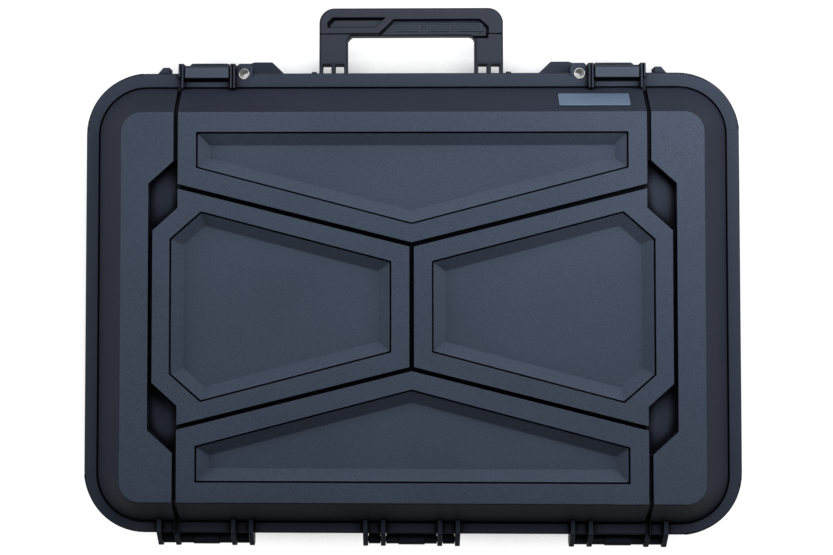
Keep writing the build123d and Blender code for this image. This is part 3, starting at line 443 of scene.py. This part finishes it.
class OuterBand(EffectGroup):
    """The sloping band round the lid's face, which gets painted shade: a darker tone than the face."""

    name = "outer_band"
    inputs = (("Half width", "NodeSocketFloat", 195.0 * MM), ("Half depth", "NodeSocketFloat", 130.0 * MM))
    outputs = (("Mask", "NodeSocketFloat"),)
    slope_span: Span = (0.03, 0.09)

    @classmethod
    def fill(cls, wiring: Wiring, source: bpy.types.Node, target: bpy.types.Node) -> None:
        """Joins the piece's own slope to the distance from its middle. See EffectGroup.fill."""
        place = wiring.add("ShaderNodeTexCoord")
        spot = wiring.add("ShaderNodeSeparateXYZ")
        facing = wiring.add("ShaderNodeSeparateXYZ")
        wiring.join(place.outputs["Object"], spot.inputs[0])
        wiring.join(place.outputs["Normal"], facing.inputs[0])
        beyond = []
        for axis, limit in (("X", "Half width"), ("Y", "Half depth")):
            away = wiring.math("ABSOLUTE", spot.outputs[axis])
            beyond.append(wiring.math("GREATER_THAN", away, source.outputs[limit]))
        outside = wiring.math("MAXIMUM", *beyond)
        sloped = wiring.ramp(wiring.math("SUBTRACT", 1.0, facing.outputs["Z"]), *cls.slope_span)
        wiring.join(wiring.math("MULTIPLY", outside, sloped), target.inputs["Mask"])


@dataclass(frozen=True)
class Finish:
    """What every finish has: a name and a material made from it."""

    name: str
    colour: Colour
    roughness: float

    def material(self) -> bpy.types.Material:
        """Gives the finish's material, and builds it at the first call."""
        found = bpy.data.materials.get(self.name)
        if found:
            return found
        made = bpy.data.materials.new(self.name)
        made.use_nodes = True
        made.diffuse_color = (*self.colour, 1.0)
        wiring = Wiring(made.node_tree)
        shader = wiring.add("ShaderNodeBsdfPrincipled")
        output = wiring.add("ShaderNodeOutputMaterial")
        wiring.join(shader.outputs["BSDF"], output.inputs["Surface"])
        shader.inputs["Roughness"].default_value = self.roughness
        self.wire(wiring, shader)
        return made

    def wire(self, wiring: Wiring, shader: bpy.types.Node) -> None:
        """Joins the finish's nodes to its shader.

        Args:
            wiring: the material's tree.
            shader: the Principled shader.
        """
        raise NotImplementedError


@dataclass(frozen=True)
class MouldedPlastic(Finish):
    """Satin plastic with a fine mould texture, a painted highlight along edges, and painted shade on its
    rim, recess floors, slopes, sides and concave corners.
    """

    steep_shade_colour: Colour
    slope_shade_colour: Colour
    edge_highlight_colour: Colour
    low_shade_colour: Colour
    recess_floor_shade_colour: Colour = (0.04, 0.05, 0.07)
    recess_floor: float = 89.5 * MM
    recess_blend: float = 0.3 * MM
    recess_shade_reach: float = 14.0 * MM
    recess_shade_dark: float = 0.85
    edge_highlight_share: float = 0.35
    edge_width: float = 0.7 * MM
    edge_polish: float = 0.1
    grain_cells: float = 1500.0
    grain_depth: float = 0.05 * MM
    grain_strength: float = 0.5
    speckle: float = 0.46
    tone_lift: float = 1.18
    patches: float = 7.0
    patch_share: float = 0.2
    patch_dark: float = 0.5
    patch_polish: float = 0.07
    rough_lift: float = 0.03
    specular: float = 0.06

    def tone_with_painted_shade(self, wiring: Wiring) -> bpy.types.NodeSocket:
        """Paints shade by height and facing: the recess floors, rim, slopes and sides get darker copies of
        the face's colour.

        Args:
            wiring: the material's tree.

        Returns:
            The colour output.
        """
        floor_end = self.recess_floor + self.recess_blend
        above_recess = RaisedFace.place(wiring, Low_until=self.recess_floor, High_from=floor_end)
        above_rim = RaisedFace.place(wiring)
        slope = OuterBand.place(wiring)
        steep = SteepSides.place(wiring)
        # painted shade: lower parts and slopes get darker copies of the face's colour
        tone = wiring.blend(above_recess.outputs["Mask"], self.recess_floor_shade_colour, self.colour)
        tone = wiring.blend(above_rim.outputs["Mask"], self.low_shade_colour, tone)
        tone = wiring.blend(slope.outputs["Mask"], tone, self.slope_shade_colour)
        return wiring.blend(steep.outputs["Mask"], tone, self.steep_shade_colour)

    def wire(self, wiring: Wiring, shader: bpy.types.Node) -> None:
        """Joins grain, patches, a painted highlight along edges and painted shade in concave corners. See
        Finish.wire.
        """
        grain = MouldedGrain.place(wiring, Cells_per_metre=self.grain_cells)
        patches = HandledPatches.place(wiring, Patches_per_metre=self.patches)
        edges = EdgeHighlightBand.place(wiring, Band_width=self.edge_width)
        painted_recess_shade = RecessShade.place(wiring, Reach=self.recess_shade_reach)
        speck = wiring.math("MULTIPLY", grain.outputs["Speckle"], self.speckle)
        speck = wiring.math("ADD", speck, self.tone_lift - self.speckle / 2)
        tone = wiring.blend(1.0, self.tone_with_painted_shade(wiring), speck, "MULTIPLY")
        worn = wiring.math("MULTIPLY", patches.outputs["Mask"], self.patch_share)
        tone = wiring.blend(worn, tone, mixed(self.colour, BLACK, self.patch_dark))
        # painted highlight: a paler band along the edges
        edge_highlight_mix = wiring.math("MULTIPLY", edges.outputs["Mask"], self.edge_highlight_share)
        tone = wiring.blend(edge_highlight_mix, tone, self.edge_highlight_colour)
        # painted shade colour for grooves and concave corners
        recess_shade_colour = mixed(self.steep_shade_colour, BLACK, self.recess_shade_dark)
        tone = wiring.blend(painted_recess_shade.outputs["Mask"], tone, recess_shade_colour)
        wiring.join(tone, shader.inputs["Base Color"])
        shine = wiring.math("MULTIPLY", patches.outputs["Mask"], self.patch_polish)
        rough = wiring.math("SUBTRACT", self.roughness + self.rough_lift, shine)
        polish = wiring.math("MULTIPLY", edges.outputs["Mask"], self.edge_polish)
        wiring.join(wiring.math("SUBTRACT", rough, polish), shader.inputs["Roughness"])
        shader.inputs["Specular IOR Level"].default_value = self.specular
        normal = wiring.bump(grain.outputs["Height"], self.grain_strength, self.grain_depth)
        wiring.join(normal, shader.inputs["Normal"])


@dataclass(frozen=True)
class SoftRubber(Finish):
    """Matt rubber with a faint bloom."""

    grain_cells: float = 2600.0
    grain_depth: float = 0.03 * MM
    grain_strength: float = 0.35
    patches: float = 22.0
    bloom_share: float = 0.25
    bloom_pale: float = 0.06
    speckle: float = 0.2
    speckle_dark: float = 0.4
    specular: float = 0.3

    def wire(self, wiring: Wiring, shader: bpy.types.Node) -> None:
        """Joins a fine grain and a pale bloom. See Finish.wire."""
        grain = MouldedGrain.place(wiring, Cells_per_metre=self.grain_cells)
        patches = HandledPatches.place(wiring, Patches_per_metre=self.patches)
        bloom = wiring.math("MULTIPLY", patches.outputs["Mask"], self.bloom_share)
        tone = wiring.blend(bloom, self.colour, mixed(self.colour, WHITE, self.bloom_pale))
        speck = wiring.math("MULTIPLY", grain.outputs["Speckle"], self.speckle)
        tone = wiring.blend(speck, tone, mixed(self.colour, BLACK, self.speckle_dark))
        wiring.join(tone, shader.inputs["Base Color"])
        shader.inputs["Specular IOR Level"].default_value = self.specular
        normal = wiring.bump(grain.outputs["Height"], self.grain_strength, self.grain_depth)
        wiring.join(normal, shader.inputs["Normal"])


@dataclass(frozen=True)
class DrawnMetal(Finish):
    """Bare or plated metal, drawn or brushed along one axis, with small nicks."""

    grain_axis: Vector = Vector((1.0, 0.0, 0.0))
    grain_lines: float = 2200.0
    line_stretch: float = 0.02
    line_detail: float = 4.0
    line_span: Span = (0.3, 0.72)
    line_dark: float = 0.22
    line_spread: float = 0.12
    line_depth: float = 0.02 * MM
    line_strength: float = 0.15
    nick_patches: float = 260.0
    nicks: float = 0.25
    nick_dark: float = 0.45
    metallic: float = 1.0

    def wire(self, wiring: Wiring, shader: bpy.types.Node) -> None:
        """Joins stretched lines and nicks. See Finish.wire."""
        place = wiring.add("ShaderNodeTexCoord")
        stretch = wiring.add("ShaderNodeMapping")
        along = [self.line_stretch if part else 1.0 for part in self.grain_axis]
        stretch.inputs["Scale"].default_value = along
        wiring.join(place.outputs["Object"], stretch.inputs["Vector"])
        lines = wiring.add("ShaderNodeTexNoise")
        lines.inputs["Scale"].default_value = self.grain_lines
        lines.inputs["Detail"].default_value = self.line_detail
        wiring.join(stretch.outputs["Vector"], lines.inputs["Vector"])
        patches = HandledPatches.place(wiring, Patches_per_metre=self.nick_patches)
        streak = wiring.ramp(lines.outputs["Fac"], *self.line_span)
        tone = wiring.blend(streak, mixed(self.colour, BLACK, self.line_dark), self.colour)
        dull = wiring.math("MULTIPLY", patches.outputs["Mask"], self.nicks)
        tone = wiring.blend(dull, tone, mixed(self.colour, BLACK, self.nick_dark))
        wiring.join(tone, shader.inputs["Base Color"])
        spread = wiring.math("MULTIPLY", streak, self.line_spread)
        rough = wiring.math("ADD", spread, self.roughness - self.line_spread / 2)
        wiring.join(rough, shader.inputs["Roughness"])
        shader.inputs["Metallic"].default_value = self.metallic
        normal = wiring.bump(lines.outputs["Fac"], self.line_strength, self.line_depth)
        wiring.join(normal, shader.inputs["Normal"])


@dataclass(frozen=True)
class CellFoam(Finish):
    """Charcoal foam with open cells, and painted shade in the pores' hollows."""

    cells: float = 900.0
    pore_span: Span = (0.12, 0.5)
    pore_shade_dark: float = 0.75
    pore_depth: float = 0.4 * MM
    pore_strength: float = 0.8
    fine_ratio: float = 1.7
    fine_detail: float = 5.0
    fine_span: Span = (0.35, 0.7)
    fine_share: float = 0.45
    fine_pale: float = 0.08
    patches: float = 14.0
    patch_share: float = 0.2
    patch_dark: float = 0.4
    specular: float = 0.1
    sheen: float = 0.25

    def wire(self, wiring: Wiring, shader: bpy.types.Node) -> None:
        """Joins two sizes of pore. See Finish.wire."""
        place = wiring.add("ShaderNodeTexCoord")
        pores = wiring.add("ShaderNodeTexVoronoi")
        pores.inputs["Scale"].default_value = self.cells
        wiring.join(place.outputs["Object"], pores.inputs["Vector"])
        fine = wiring.add("ShaderNodeTexNoise")
        fine.inputs["Scale"].default_value = self.cells * self.fine_ratio
        fine.inputs["Detail"].default_value = self.fine_detail
        wiring.join(place.outputs["Object"], fine.inputs["Vector"])
        patches = HandledPatches.place(wiring, Patches_per_metre=self.patches)
        # painted shade: the pores' hollows are darkened
        pore_shade_mask = wiring.ramp(pores.outputs["Distance"], *self.pore_span)
        tone = wiring.blend(pore_shade_mask, mixed(self.colour, BLACK, self.pore_shade_dark), self.colour)
        speck = wiring.math("MULTIPLY", wiring.ramp(fine.outputs["Fac"], *self.fine_span), self.fine_share)
        tone = wiring.blend(speck, tone, mixed(self.colour, WHITE, self.fine_pale))
        worn = wiring.math("MULTIPLY", patches.outputs["Mask"], self.patch_share)
        tone = wiring.blend(worn, tone, mixed(self.colour, BLACK, self.patch_dark))
        wiring.join(tone, shader.inputs["Base Color"])
        shader.inputs["Specular IOR Level"].default_value = self.specular
        shader.inputs["Sheen Weight"].default_value = self.sheen
        height = wiring.math("ADD", pores.outputs["Distance"], fine.outputs["Fac"])
        wiring.join(wiring.bump(height, self.pore_strength, self.pore_depth), shader.inputs["Normal"])


SHELL = MouldedPlastic(
    name="shell_textured_plastic",
    colour=display(66, 72, 84),
    roughness=0.52,
    steep_shade_colour=display(35, 37, 46),
    slope_shade_colour=display(41, 42, 51),
    edge_highlight_colour=display(100, 110, 126),
    low_shade_colour=display(54, 58, 68),
    recess_floor_shade_colour=display(54, 58, 70),
)
# painted shade: the base is the lid's plastic in a darker copy, because it lies lower
SHADED_BASE_SHELL = MouldedPlastic(
    name="base_plastic_painted_shade",
    colour=display(46, 50, 59),
    roughness=0.52,
    steep_shade_colour=display(35, 37, 46),
    slope_shade_colour=display(38, 40, 48),
    edge_highlight_colour=display(84, 92, 106),
    low_shade_colour=display(46, 50, 59),
)
LATCH = MouldedPlastic(
    name="latch_satin_plastic",
    colour=display(71, 75, 85),
    roughness=0.44,
    steep_shade_colour=display(40, 42, 50),
    slope_shade_colour=display(62, 68, 81),
    edge_highlight_colour=display(118, 128, 142),
    low_shade_colour=display(71, 75, 85),
    grain_cells=2200.0,
    grain_depth=0.03 * MM,
)
HANDLE = MouldedPlastic(
    name="handle_satin_plastic",
    colour=display(53, 55, 62),
    roughness=0.48,
    steep_shade_colour=display(32, 33, 40),
    slope_shade_colour=display(46, 49, 58),
    edge_highlight_colour=display(98, 106, 120),
    low_shade_colour=display(53, 55, 62),
    grain_cells=2000.0,
    grain_depth=0.03 * MM,
)
GRIP = SoftRubber(name="grip_soft_rubber", colour=display(50, 55, 66), roughness=0.68)
SEAL = SoftRubber(name="seal_rubber", colour=display(22, 22, 24), roughness=0.62)
PIN = DrawnMetal(name="pin_blackened_steel", colour=display(46, 47, 50), roughness=0.42)
EYELET = DrawnMetal(
    name="eyelet_plated_steel",
    colour=display(206, 204, 196),
    roughness=0.3,
    grain_axis=Vector((0.0, 0.0, 1.0)),
    nicks=0.1,
)
BADGE = DrawnMetal(
    name="badge_satin_metal",
    colour=display(107, 124, 145),
    roughness=0.42,
    grain_lines=1600.0,
    nicks=0.12,
    metallic=0.6,
)
FOAM = CellFoam(name="charcoal_foam", colour=display(58, 59, 63), roughness=0.95)


class Bench:
    """Hand tools for modelling: each works on one selected piece."""

    weld_distance = 0.002 * MM
    flat_degrees = 0.4
    slight_degrees = 16.0
    sure_degrees = 35.0
    slight_length = 6.0 * MM
    normal_weight = 60

    @staticmethod
    def pick(piece: bpy.types.Object) -> None:
        """Selects one piece alone and makes it active.

        Args:
            piece: the piece.
        """
        if bpy.context.object and bpy.context.object.mode != "OBJECT":
            bpy.ops.object.mode_set(mode="OBJECT")
        bpy.ops.object.select_all(action="DESELECT")
        piece.select_set(True)
        bpy.context.view_layer.objects.active = piece

    @staticmethod
    def copy_of(node: str, name: str) -> bpy.types.Object:
        """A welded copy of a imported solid, with its flat faces made whole or split into convex ones.

        Args:
            node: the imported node.
            name: the new piece's name.

        Returns:
            The new piece.
        """
        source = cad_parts[node]
        piece = bpy.data.objects.new(name, source.data.copy())
        piece.data.name = name
        piece.data.materials.clear()
        bpy.context.scene.collection.objects.link(piece)
        Bench.pick(piece)
        for attribute in ("custom_normal", "sharp_face"):
            if attribute in piece.data.attributes:
                piece.data.attributes.remove(piece.data.attributes[attribute])
        bpy.ops.object.mode_set(mode="EDIT")
        bpy.ops.mesh.select_all(action="SELECT")
        bpy.ops.mesh.remove_doubles(threshold=Bench.weld_distance)
        bpy.ops.mesh.dissolve_limited(angle_limit=math.radians(Bench.flat_degrees))
        bpy.ops.mesh.vert_connect_concave()
        bpy.ops.mesh.select_all(action="DESELECT")
        bpy.ops.object.mode_set(mode="OBJECT")
        return piece

    @staticmethod
    def apply(piece: bpy.types.Object, kind: str, **settings: object) -> None:
        """Adds a modifier and applies it.

        Args:
            piece: the piece.
            kind: the modifier's type.
            settings: its properties.
        """
        Bench.pick(piece)
        modifier = piece.modifiers.new(kind.lower(), kind)
        for name, value in settings.items():
            setattr(modifier, name, value)
        bpy.ops.object.modifier_apply(modifier=modifier.name)

    @staticmethod
    def smooth(piece: bpy.types.Object, degrees: float) -> None:
        """Shades a piece smooth, with its sharp edges kept.

        Args:
            piece: the piece.
            degrees: edges that turn by more stay sharp.
        """
        Bench.pick(piece)
        bpy.ops.object.shade_smooth_by_angle(angle=math.radians(degrees))

    @staticmethod
    def mark_edges(piece: bpy.types.Object) -> None:
        """Marks a piece's real edges for rounding, and shades it smooth over all its others.

        An edge that turns by more than sure_degrees is real. One that turns by more than slight_degrees is
        real when it is also longer than slight_length, because a curved wall's facets have short edges.

        Args:
            piece: the piece.
        """
        form = bmesh.new()
        form.from_mesh(piece.data)
        weights = form.edges.layers.float.new("bevel_weight_edge")
        for edge in form.edges:
            turn = math.degrees(edge.calc_face_angle(0.0))
            long_edge = edge.calc_length() > Bench.slight_length
            real = turn > Bench.sure_degrees or (turn > Bench.slight_degrees and long_edge)
            edge.smooth = not real
            edge[weights] = 1.0 if real else 0.0
        for face in form.faces:
            face.smooth = True
        form.to_mesh(piece.data)
        form.free()

    @staticmethod
    def soften(piece: bpy.types.Object, width: float, segments: int = 2) -> None:
        """Rounds a piece's real edges.

        Args:
            piece: the piece.
            width: how far the rounding reaches from the edge.
            segments: facets across it.
        """
        Bench.mark_edges(piece)
        Bench.apply(
            piece,
            "BEVEL",
            width=width,
            segments=segments,
            limit_method="WEIGHT",
            use_clamp_overlap=False,
            miter_outer="MITER_ARC",
        )
        weight = Bench.normal_weight
        Bench.apply(piece, "WEIGHTED_NORMAL", mode="FACE_AREA", weight=weight, keep_sharp=True)

    @staticmethod
    def dress(
        piece: bpy.types.Object, finish: Finish, slot: Slot, body: Body, *nodes: str
    ) -> bpy.types.Object:
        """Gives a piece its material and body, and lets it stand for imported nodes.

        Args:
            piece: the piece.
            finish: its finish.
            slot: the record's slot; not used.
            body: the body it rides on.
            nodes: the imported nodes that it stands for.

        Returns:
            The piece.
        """
        piece.data.materials.clear()
        piece.data.materials.append(finish.material())
        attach(piece, body.value)
        if nodes:
            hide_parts(*nodes)
        return piece


@dataclass
class SoftenedPart:
    """A moulded or turned part whose packed form is right, and gets rounded edges and a finish."""

    node: str
    finish: Finish
    slot: Slot
    body: Body
    edge: float
    segments: int = 2

    def build(self) -> list[bpy.types.Object]:
        """Builds the part.

        Returns:
            The new piece.
        """
        piece = Bench.copy_of(self.node, self.node + "_moulded")
        Bench.soften(piece, self.edge, self.segments)
        return [Bench.dress(piece, self.finish, self.slot, self.body, self.node)]


class FoamShape(Enum):
    """How a foam's open side is cut."""

    FLAT = "flat"
    TRAY = "tray"
    EGG_CRATE = "egg_crate"


@dataclass
class FoamPad:
    """A block of foam with soft corners."""

    node: str
    body: Body
    shape: FoamShape
    voxel: float = 2.4 * MM
    wave: float = 27.0 * MM
    wave_depth: float = 9.0 * MM
    wave_edge: float = 14.0 * MM
    unevenness: float = 0.25 * MM
    ripple_turns: tuple[float, float] = (90.0, 76.0)
    ripple_starts: tuple[float, float] = (1.3, 0.4)
    relax_factor: float = 0.5
    relax_rounds: int = 3
    smooth_degrees: float = 60.0

    def ripple(self, point: Vector) -> float:
        """How uneven a cut side is at a point, from -1 to 1.

        Args:
            point: the point.

        Returns:
            The ripple's level.
        """
        along_x, along_y = (
            math.sin(place * turns + start)
            for place, turns, start in zip(point.xy, self.ripple_turns, self.ripple_starts)
        )
        return along_x * along_y

    def crate(self, point: Vector, low: Vector, high: Vector) -> float:
        """How far a point of the open side stands back in an egg-crate cut that fades at the sides.

        Args:
            point: the point.
            low: the block's lower corner.
            high: the block's upper corner.

        Returns:
            The distance.
        """
        if point.z > low.z + self.voxel:
            return 0.0
        middle = (low + high) / 2
        inside = min(
            (high.x - low.x) / 2 - abs(point.x - middle.x),
            (high.y - low.y) / 2 - abs(point.y - middle.y),
        )
        turn = 2 * math.pi / self.wave
        swell = math.sin(turn * point.x) * math.sin(turn * point.y)
        return self.wave_depth * (1.0 + swell) / 2 * min(1.0, max(0.0, inside / self.wave_edge))

    def build(self) -> list[bpy.types.Object]:
        """Builds the foam.

        Returns:
            The new piece.
        """
        piece = Bench.copy_of(self.node, self.node + "_soft")
        low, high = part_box(self.node)
        middle = (low + high) / 2
        Bench.apply(piece, "REMESH", mode="VOXEL", voxel_size=self.voxel, use_smooth_shade=True)
        Bench.apply(piece, "SMOOTH", factor=self.relax_factor, iterations=self.relax_rounds)
        for vertex in piece.data.vertices:
            point = vertex.co
            inwards = -1.0 if point.z > middle.z else 1.0
            point.z += inwards * self.unevenness * (1.0 + self.ripple(point))
            if self.shape is FoamShape.EGG_CRATE:
                point.z += self.crate(point, low, high)
        Bench.smooth(piece, self.smooth_degrees)
        Bench.dress(piece, FOAM, Slot.FOAM, self.body, self.node)
        return [piece]


@dataclass(frozen=True)
class Lamp:
    """A rectangular soft lamp, with its power in watts."""

    name: str
    place: Vector
    size: tuple[float, float]
    power: float
    tint: Colour = (0.86, 0.93, 1.0)

    def hang(self, aim: Vector) -> None:
        """Hangs the lamp.

        Args:
            aim: the point that it faces.
        """
        data = bpy.data.lights.new(self.name, "AREA")
        data.shape = "RECTANGLE"
        data.size, data.size_y = self.size
        data.energy = self.power
        data.color = self.tint
        lamp = bpy.data.objects.new(self.name, data)
        bpy.context.scene.collection.objects.link(lamp)
        lamp.location = self.place
        lamp.rotation_mode = "QUATERNION"
        lamp.rotation_quaternion = (aim - self.place).to_track_quat("-Z", "Y")


@dataclass
class Studio:
    """Floor, lamps, world and camera. None of them belongs to the case.

    The lamps are a long one beyond the handle and one at each side.
    """

    floor_size: float = 8.0
    floor_height: float = -0.2 * MM
    paper: float = 0.12
    shadow_reach: float = 50.0 * MM
    shadow_span: Span = (0.58, 0.88)
    shadow_glow: float = 0.12
    shadow_samples: int = 16
    world_level: float = 0.115
    world_tint: Colour = (0.93, 0.96, 1.0)
    backdrop: Colour = (0.98, 0.98, 0.98)
    aim: Vector = Vector((0.0, 0.03, 0.08))
    lamps: tuple[Lamp, ...] = (
        Lamp("key_lamp", Vector((0.2, 0.38, 0.44)), (1.1, 0.3), 5.0),
        Lamp("left_lamp", Vector((-0.85, 0.2, 0.34)), (0.5, 0.3), 4.0),
        Lamp("right_lamp", Vector((0.85, 0.28, 0.34)), (0.5, 0.3), 2.1),
    )
    focal_pixels: float = 1542.55
    frame_pixels: float = 833.0
    off_centre_pixels: tuple[float, float] = (51.48, -65.38)
    sensor: float = 36.0
    near_clip: float = 50.0 * MM
    camera_place: Vector = Vector((-0.0071, 0.0187, 1.1609))
    camera_turn: tuple[float, float, float] = (0.0409, 0.0235, 0.0006)

    def floor(self) -> None:
        """Lays the pale floor under the case."""
        bpy.ops.object.select_all(action="DESELECT")
        bpy.ops.mesh.primitive_plane_add(size=self.floor_size, location=(0.0, 0.0, self.floor_height))
        plane = bpy.context.object
        plane.name = "studio_floor"
        material = bpy.data.materials.new("studio_floor_paper")
        material.use_nodes = True
        wiring = Wiring(material.node_tree)
        paper = wiring.add("ShaderNodeBsdfDiffuse")
        wiring.feed(paper.inputs["Color"], (self.paper, self.paper, self.paper))
        glow = wiring.add("ShaderNodeEmission")
        rays = wiring.add("ShaderNodeLightPath")
        seen = wiring.math("ADD", rays.outputs["Is Camera Ray"], rays.outputs["Is Glossy Ray"], clamp=True)
        seen = wiring.math("ADD", seen, rays.outputs["Is Transmission Ray"], clamp=True)
        # painted shadow: the floor's glow dims near the case by an ambient-occlusion lookup, besides the
        # paper's real shadow from the lamps
        near = wiring.add("ShaderNodeAmbientOcclusion", samples=self.shadow_samples)
        near.inputs["Distance"].default_value = self.shadow_reach
        shade = wiring.ramp(near.outputs["AO"], *self.shadow_span)
        level = wiring.math("MULTIPLY", shade, 1.0 - self.shadow_glow)
        level = wiring.math("ADD", level, self.shadow_glow)
        wiring.join(wiring.math("MULTIPLY", seen, level), glow.inputs["Strength"])
        both = wiring.add("ShaderNodeAddShader")
        output = wiring.add("ShaderNodeOutputMaterial")
        wiring.join(paper.outputs[0], both.inputs[0])
        wiring.join(glow.outputs[0], both.inputs[1])
        wiring.join(both.outputs[0], output.inputs["Surface"])
        plane.data.materials.append(material)

    def world(self) -> None:
        """Makes the soft surrounding light."""
        world = bpy.data.worlds.new("studio_world")
        bpy.context.scene.world = world
        world.use_nodes = True
        wiring = Wiring(world.node_tree)
        around = wiring.add("ShaderNodeBackground")
        wiring.feed(around.inputs["Color"], self.world_tint)
        around.inputs["Strength"].default_value = self.world_level
        shown = wiring.add("ShaderNodeBackground")
        wiring.feed(shown.inputs["Color"], self.backdrop)
        rays = wiring.add("ShaderNodeLightPath")
        choose = wiring.add("ShaderNodeMixShader")
        output = wiring.add("ShaderNodeOutputWorld")
        wiring.join(rays.outputs["Is Camera Ray"], choose.inputs[0])
        wiring.join(around.outputs[0], choose.inputs[1])
        wiring.join(shown.outputs[0], choose.inputs[2])
        wiring.join(choose.outputs[0], output.inputs["Surface"])

    def camera(self) -> None:
        """Places the camera over the case, at the photograph's angle."""
        data = bpy.data.cameras.new("studio_camera")
        camera = bpy.data.objects.new("studio_camera", data)
        bpy.context.scene.collection.objects.link(camera)
        data.sensor_width = self.sensor
        data.lens = self.focal_pixels * self.sensor / self.frame_pixels
        data.clip_start = self.near_clip
        data.shift_x, data.shift_y = [part / self.frame_pixels for part in self.off_centre_pixels]
        camera.location = self.camera_place
        camera.rotation_euler = self.camera_turn
        bpy.context.scene.camera = camera

    def build(self) -> None:
        """Builds the whole studio."""
        bpy.context.scene.view_settings.view_transform = "Standard"
        self.floor()
        self.world()
        for lamp in self.lamps:
            lamp.hang(self.aim)
        self.camera()


@dataclass
class Shells:
    """The lid and base mouldings with the seal between them."""

    lid_edge: float = 0.35 * MM
    base_edge: float = 0.4 * MM
    seal_edge: float = 1.1 * MM

    def build(self) -> list[bpy.types.Object]:
        """Builds both shells and the seal.

        Returns:
            The new pieces.
        """
        parts = (
            SoftenedPart("lid_shell", SHELL, Slot.SHELL, Body.LID, self.lid_edge),
            SoftenedPart("base_shell", SHADED_BASE_SHELL, Slot.SHELL, Body.BASE, self.base_edge),
            SoftenedPart("rim_gasket", SEAL, Slot.SEAL, Body.LID, self.seal_edge, segments=4),
        )
        return [piece for part in parts for piece in part.build()]


@dataclass
class Latches:
    """The two snap levers and their pins."""

    edge: float = 0.5 * MM
    pin_edge: float = 0.25 * MM

    def build(self) -> list[bpy.types.Object]:
        """Builds both latches.

        Returns:
            The new pieces.
        """
        made = []
        for side, body in (("left", Body.LATCH_LEFT), ("right", Body.LATCH_RIGHT)):
            made += SoftenedPart("latch_" + side, LATCH, Slot.LATCH, body, self.edge, segments=3).build()
            made += SoftenedPart("latch_pin_" + side, PIN, Slot.PIN, Body.BASE, self.pin_edge).build()
        return made


@dataclass
class CarryHandle:
    """The handle's frame, covers, grip pads and pins."""

    edge: float = 0.45 * MM
    pad_edge: float = 0.15 * MM
    pin_edge: float = 0.25 * MM

    def build(self) -> list[bpy.types.Object]:
        """Builds the handle.

        Returns:
            The new pieces.
        """
        made = SoftenedPart("handle_frame", HANDLE, Slot.HANDLE, Body.HANDLE, self.edge).build()
        for side in ("front", "back"):
            made += SoftenedPart("handle_cover_" + side, HANDLE, Slot.HANDLE, Body.HANDLE, self.edge).build()
            made += SoftenedPart("grip_pads_" + side, GRIP, Slot.GRIP, Body.HANDLE, self.pad_edge).build()
        for side in ("left", "right"):
            made += SoftenedPart("handle_pin_" + side, PIN, Slot.PIN, Body.BASE, self.pin_edge).build()
        return made


@dataclass
class Hardware:
    """Hinge pins, padlock eyelets and the bare badge."""

    pin_edge: float = 0.25 * MM
    eyelet_edge: float = 0.22 * MM
    badge_edge: float = 0.2 * MM

    def build(self) -> list[bpy.types.Object]:
        """Builds the small metal pieces.

        Returns:
            The new pieces.
        """
        made = []
        for place in ("left", "middle", "right"):
            made += SoftenedPart("hinge_pin_" + place, PIN, Slot.PIN, Body.BASE, self.pin_edge).build()
        for owner in (Body.LID, Body.BASE):
            for side in ("left", "right"):
                node = owner.value + "_eyelet_" + side
                made += SoftenedPart(node, EYELET, Slot.EYELET, owner, self.eyelet_edge, segments=3).build()
        made += SoftenedPart("badge_plate", BADGE, Slot.BADGE, Body.LID, self.badge_edge).build()
        return made


@dataclass
class FoamSet:
    """The three blocks of foam inside."""

    def build(self) -> list[bpy.types.Object]:
        """Builds the foam.

        Returns:
            The new pieces.
        """
        pads = (
            FoamPad("base_foam_pad", Body.BASE, FoamShape.FLAT, voxel=4.0 * MM),
            FoamPad("base_foam_tray", Body.BASE, FoamShape.TRAY),
            FoamPad("lid_foam", Body.LID, FoamShape.EGG_CRATE, voxel=2.8 * MM),
        )
        return [piece for pad in pads for piece in pad.build()]


def main() -> None:
    """Builds the studio and every sub-assembly in order."""
    logging.basicConfig(level=logging.INFO, format="%(name)s: %(message)s")
    Studio().build()
    for part in (Shells(), Latches(), CarryHandle(), Hardware(), FoamSet()):
        for piece in part.build():
            log.info("%s: %d faces", piece.name, len(piece.data.polygons))


if __name__ == "__main__":
    main()
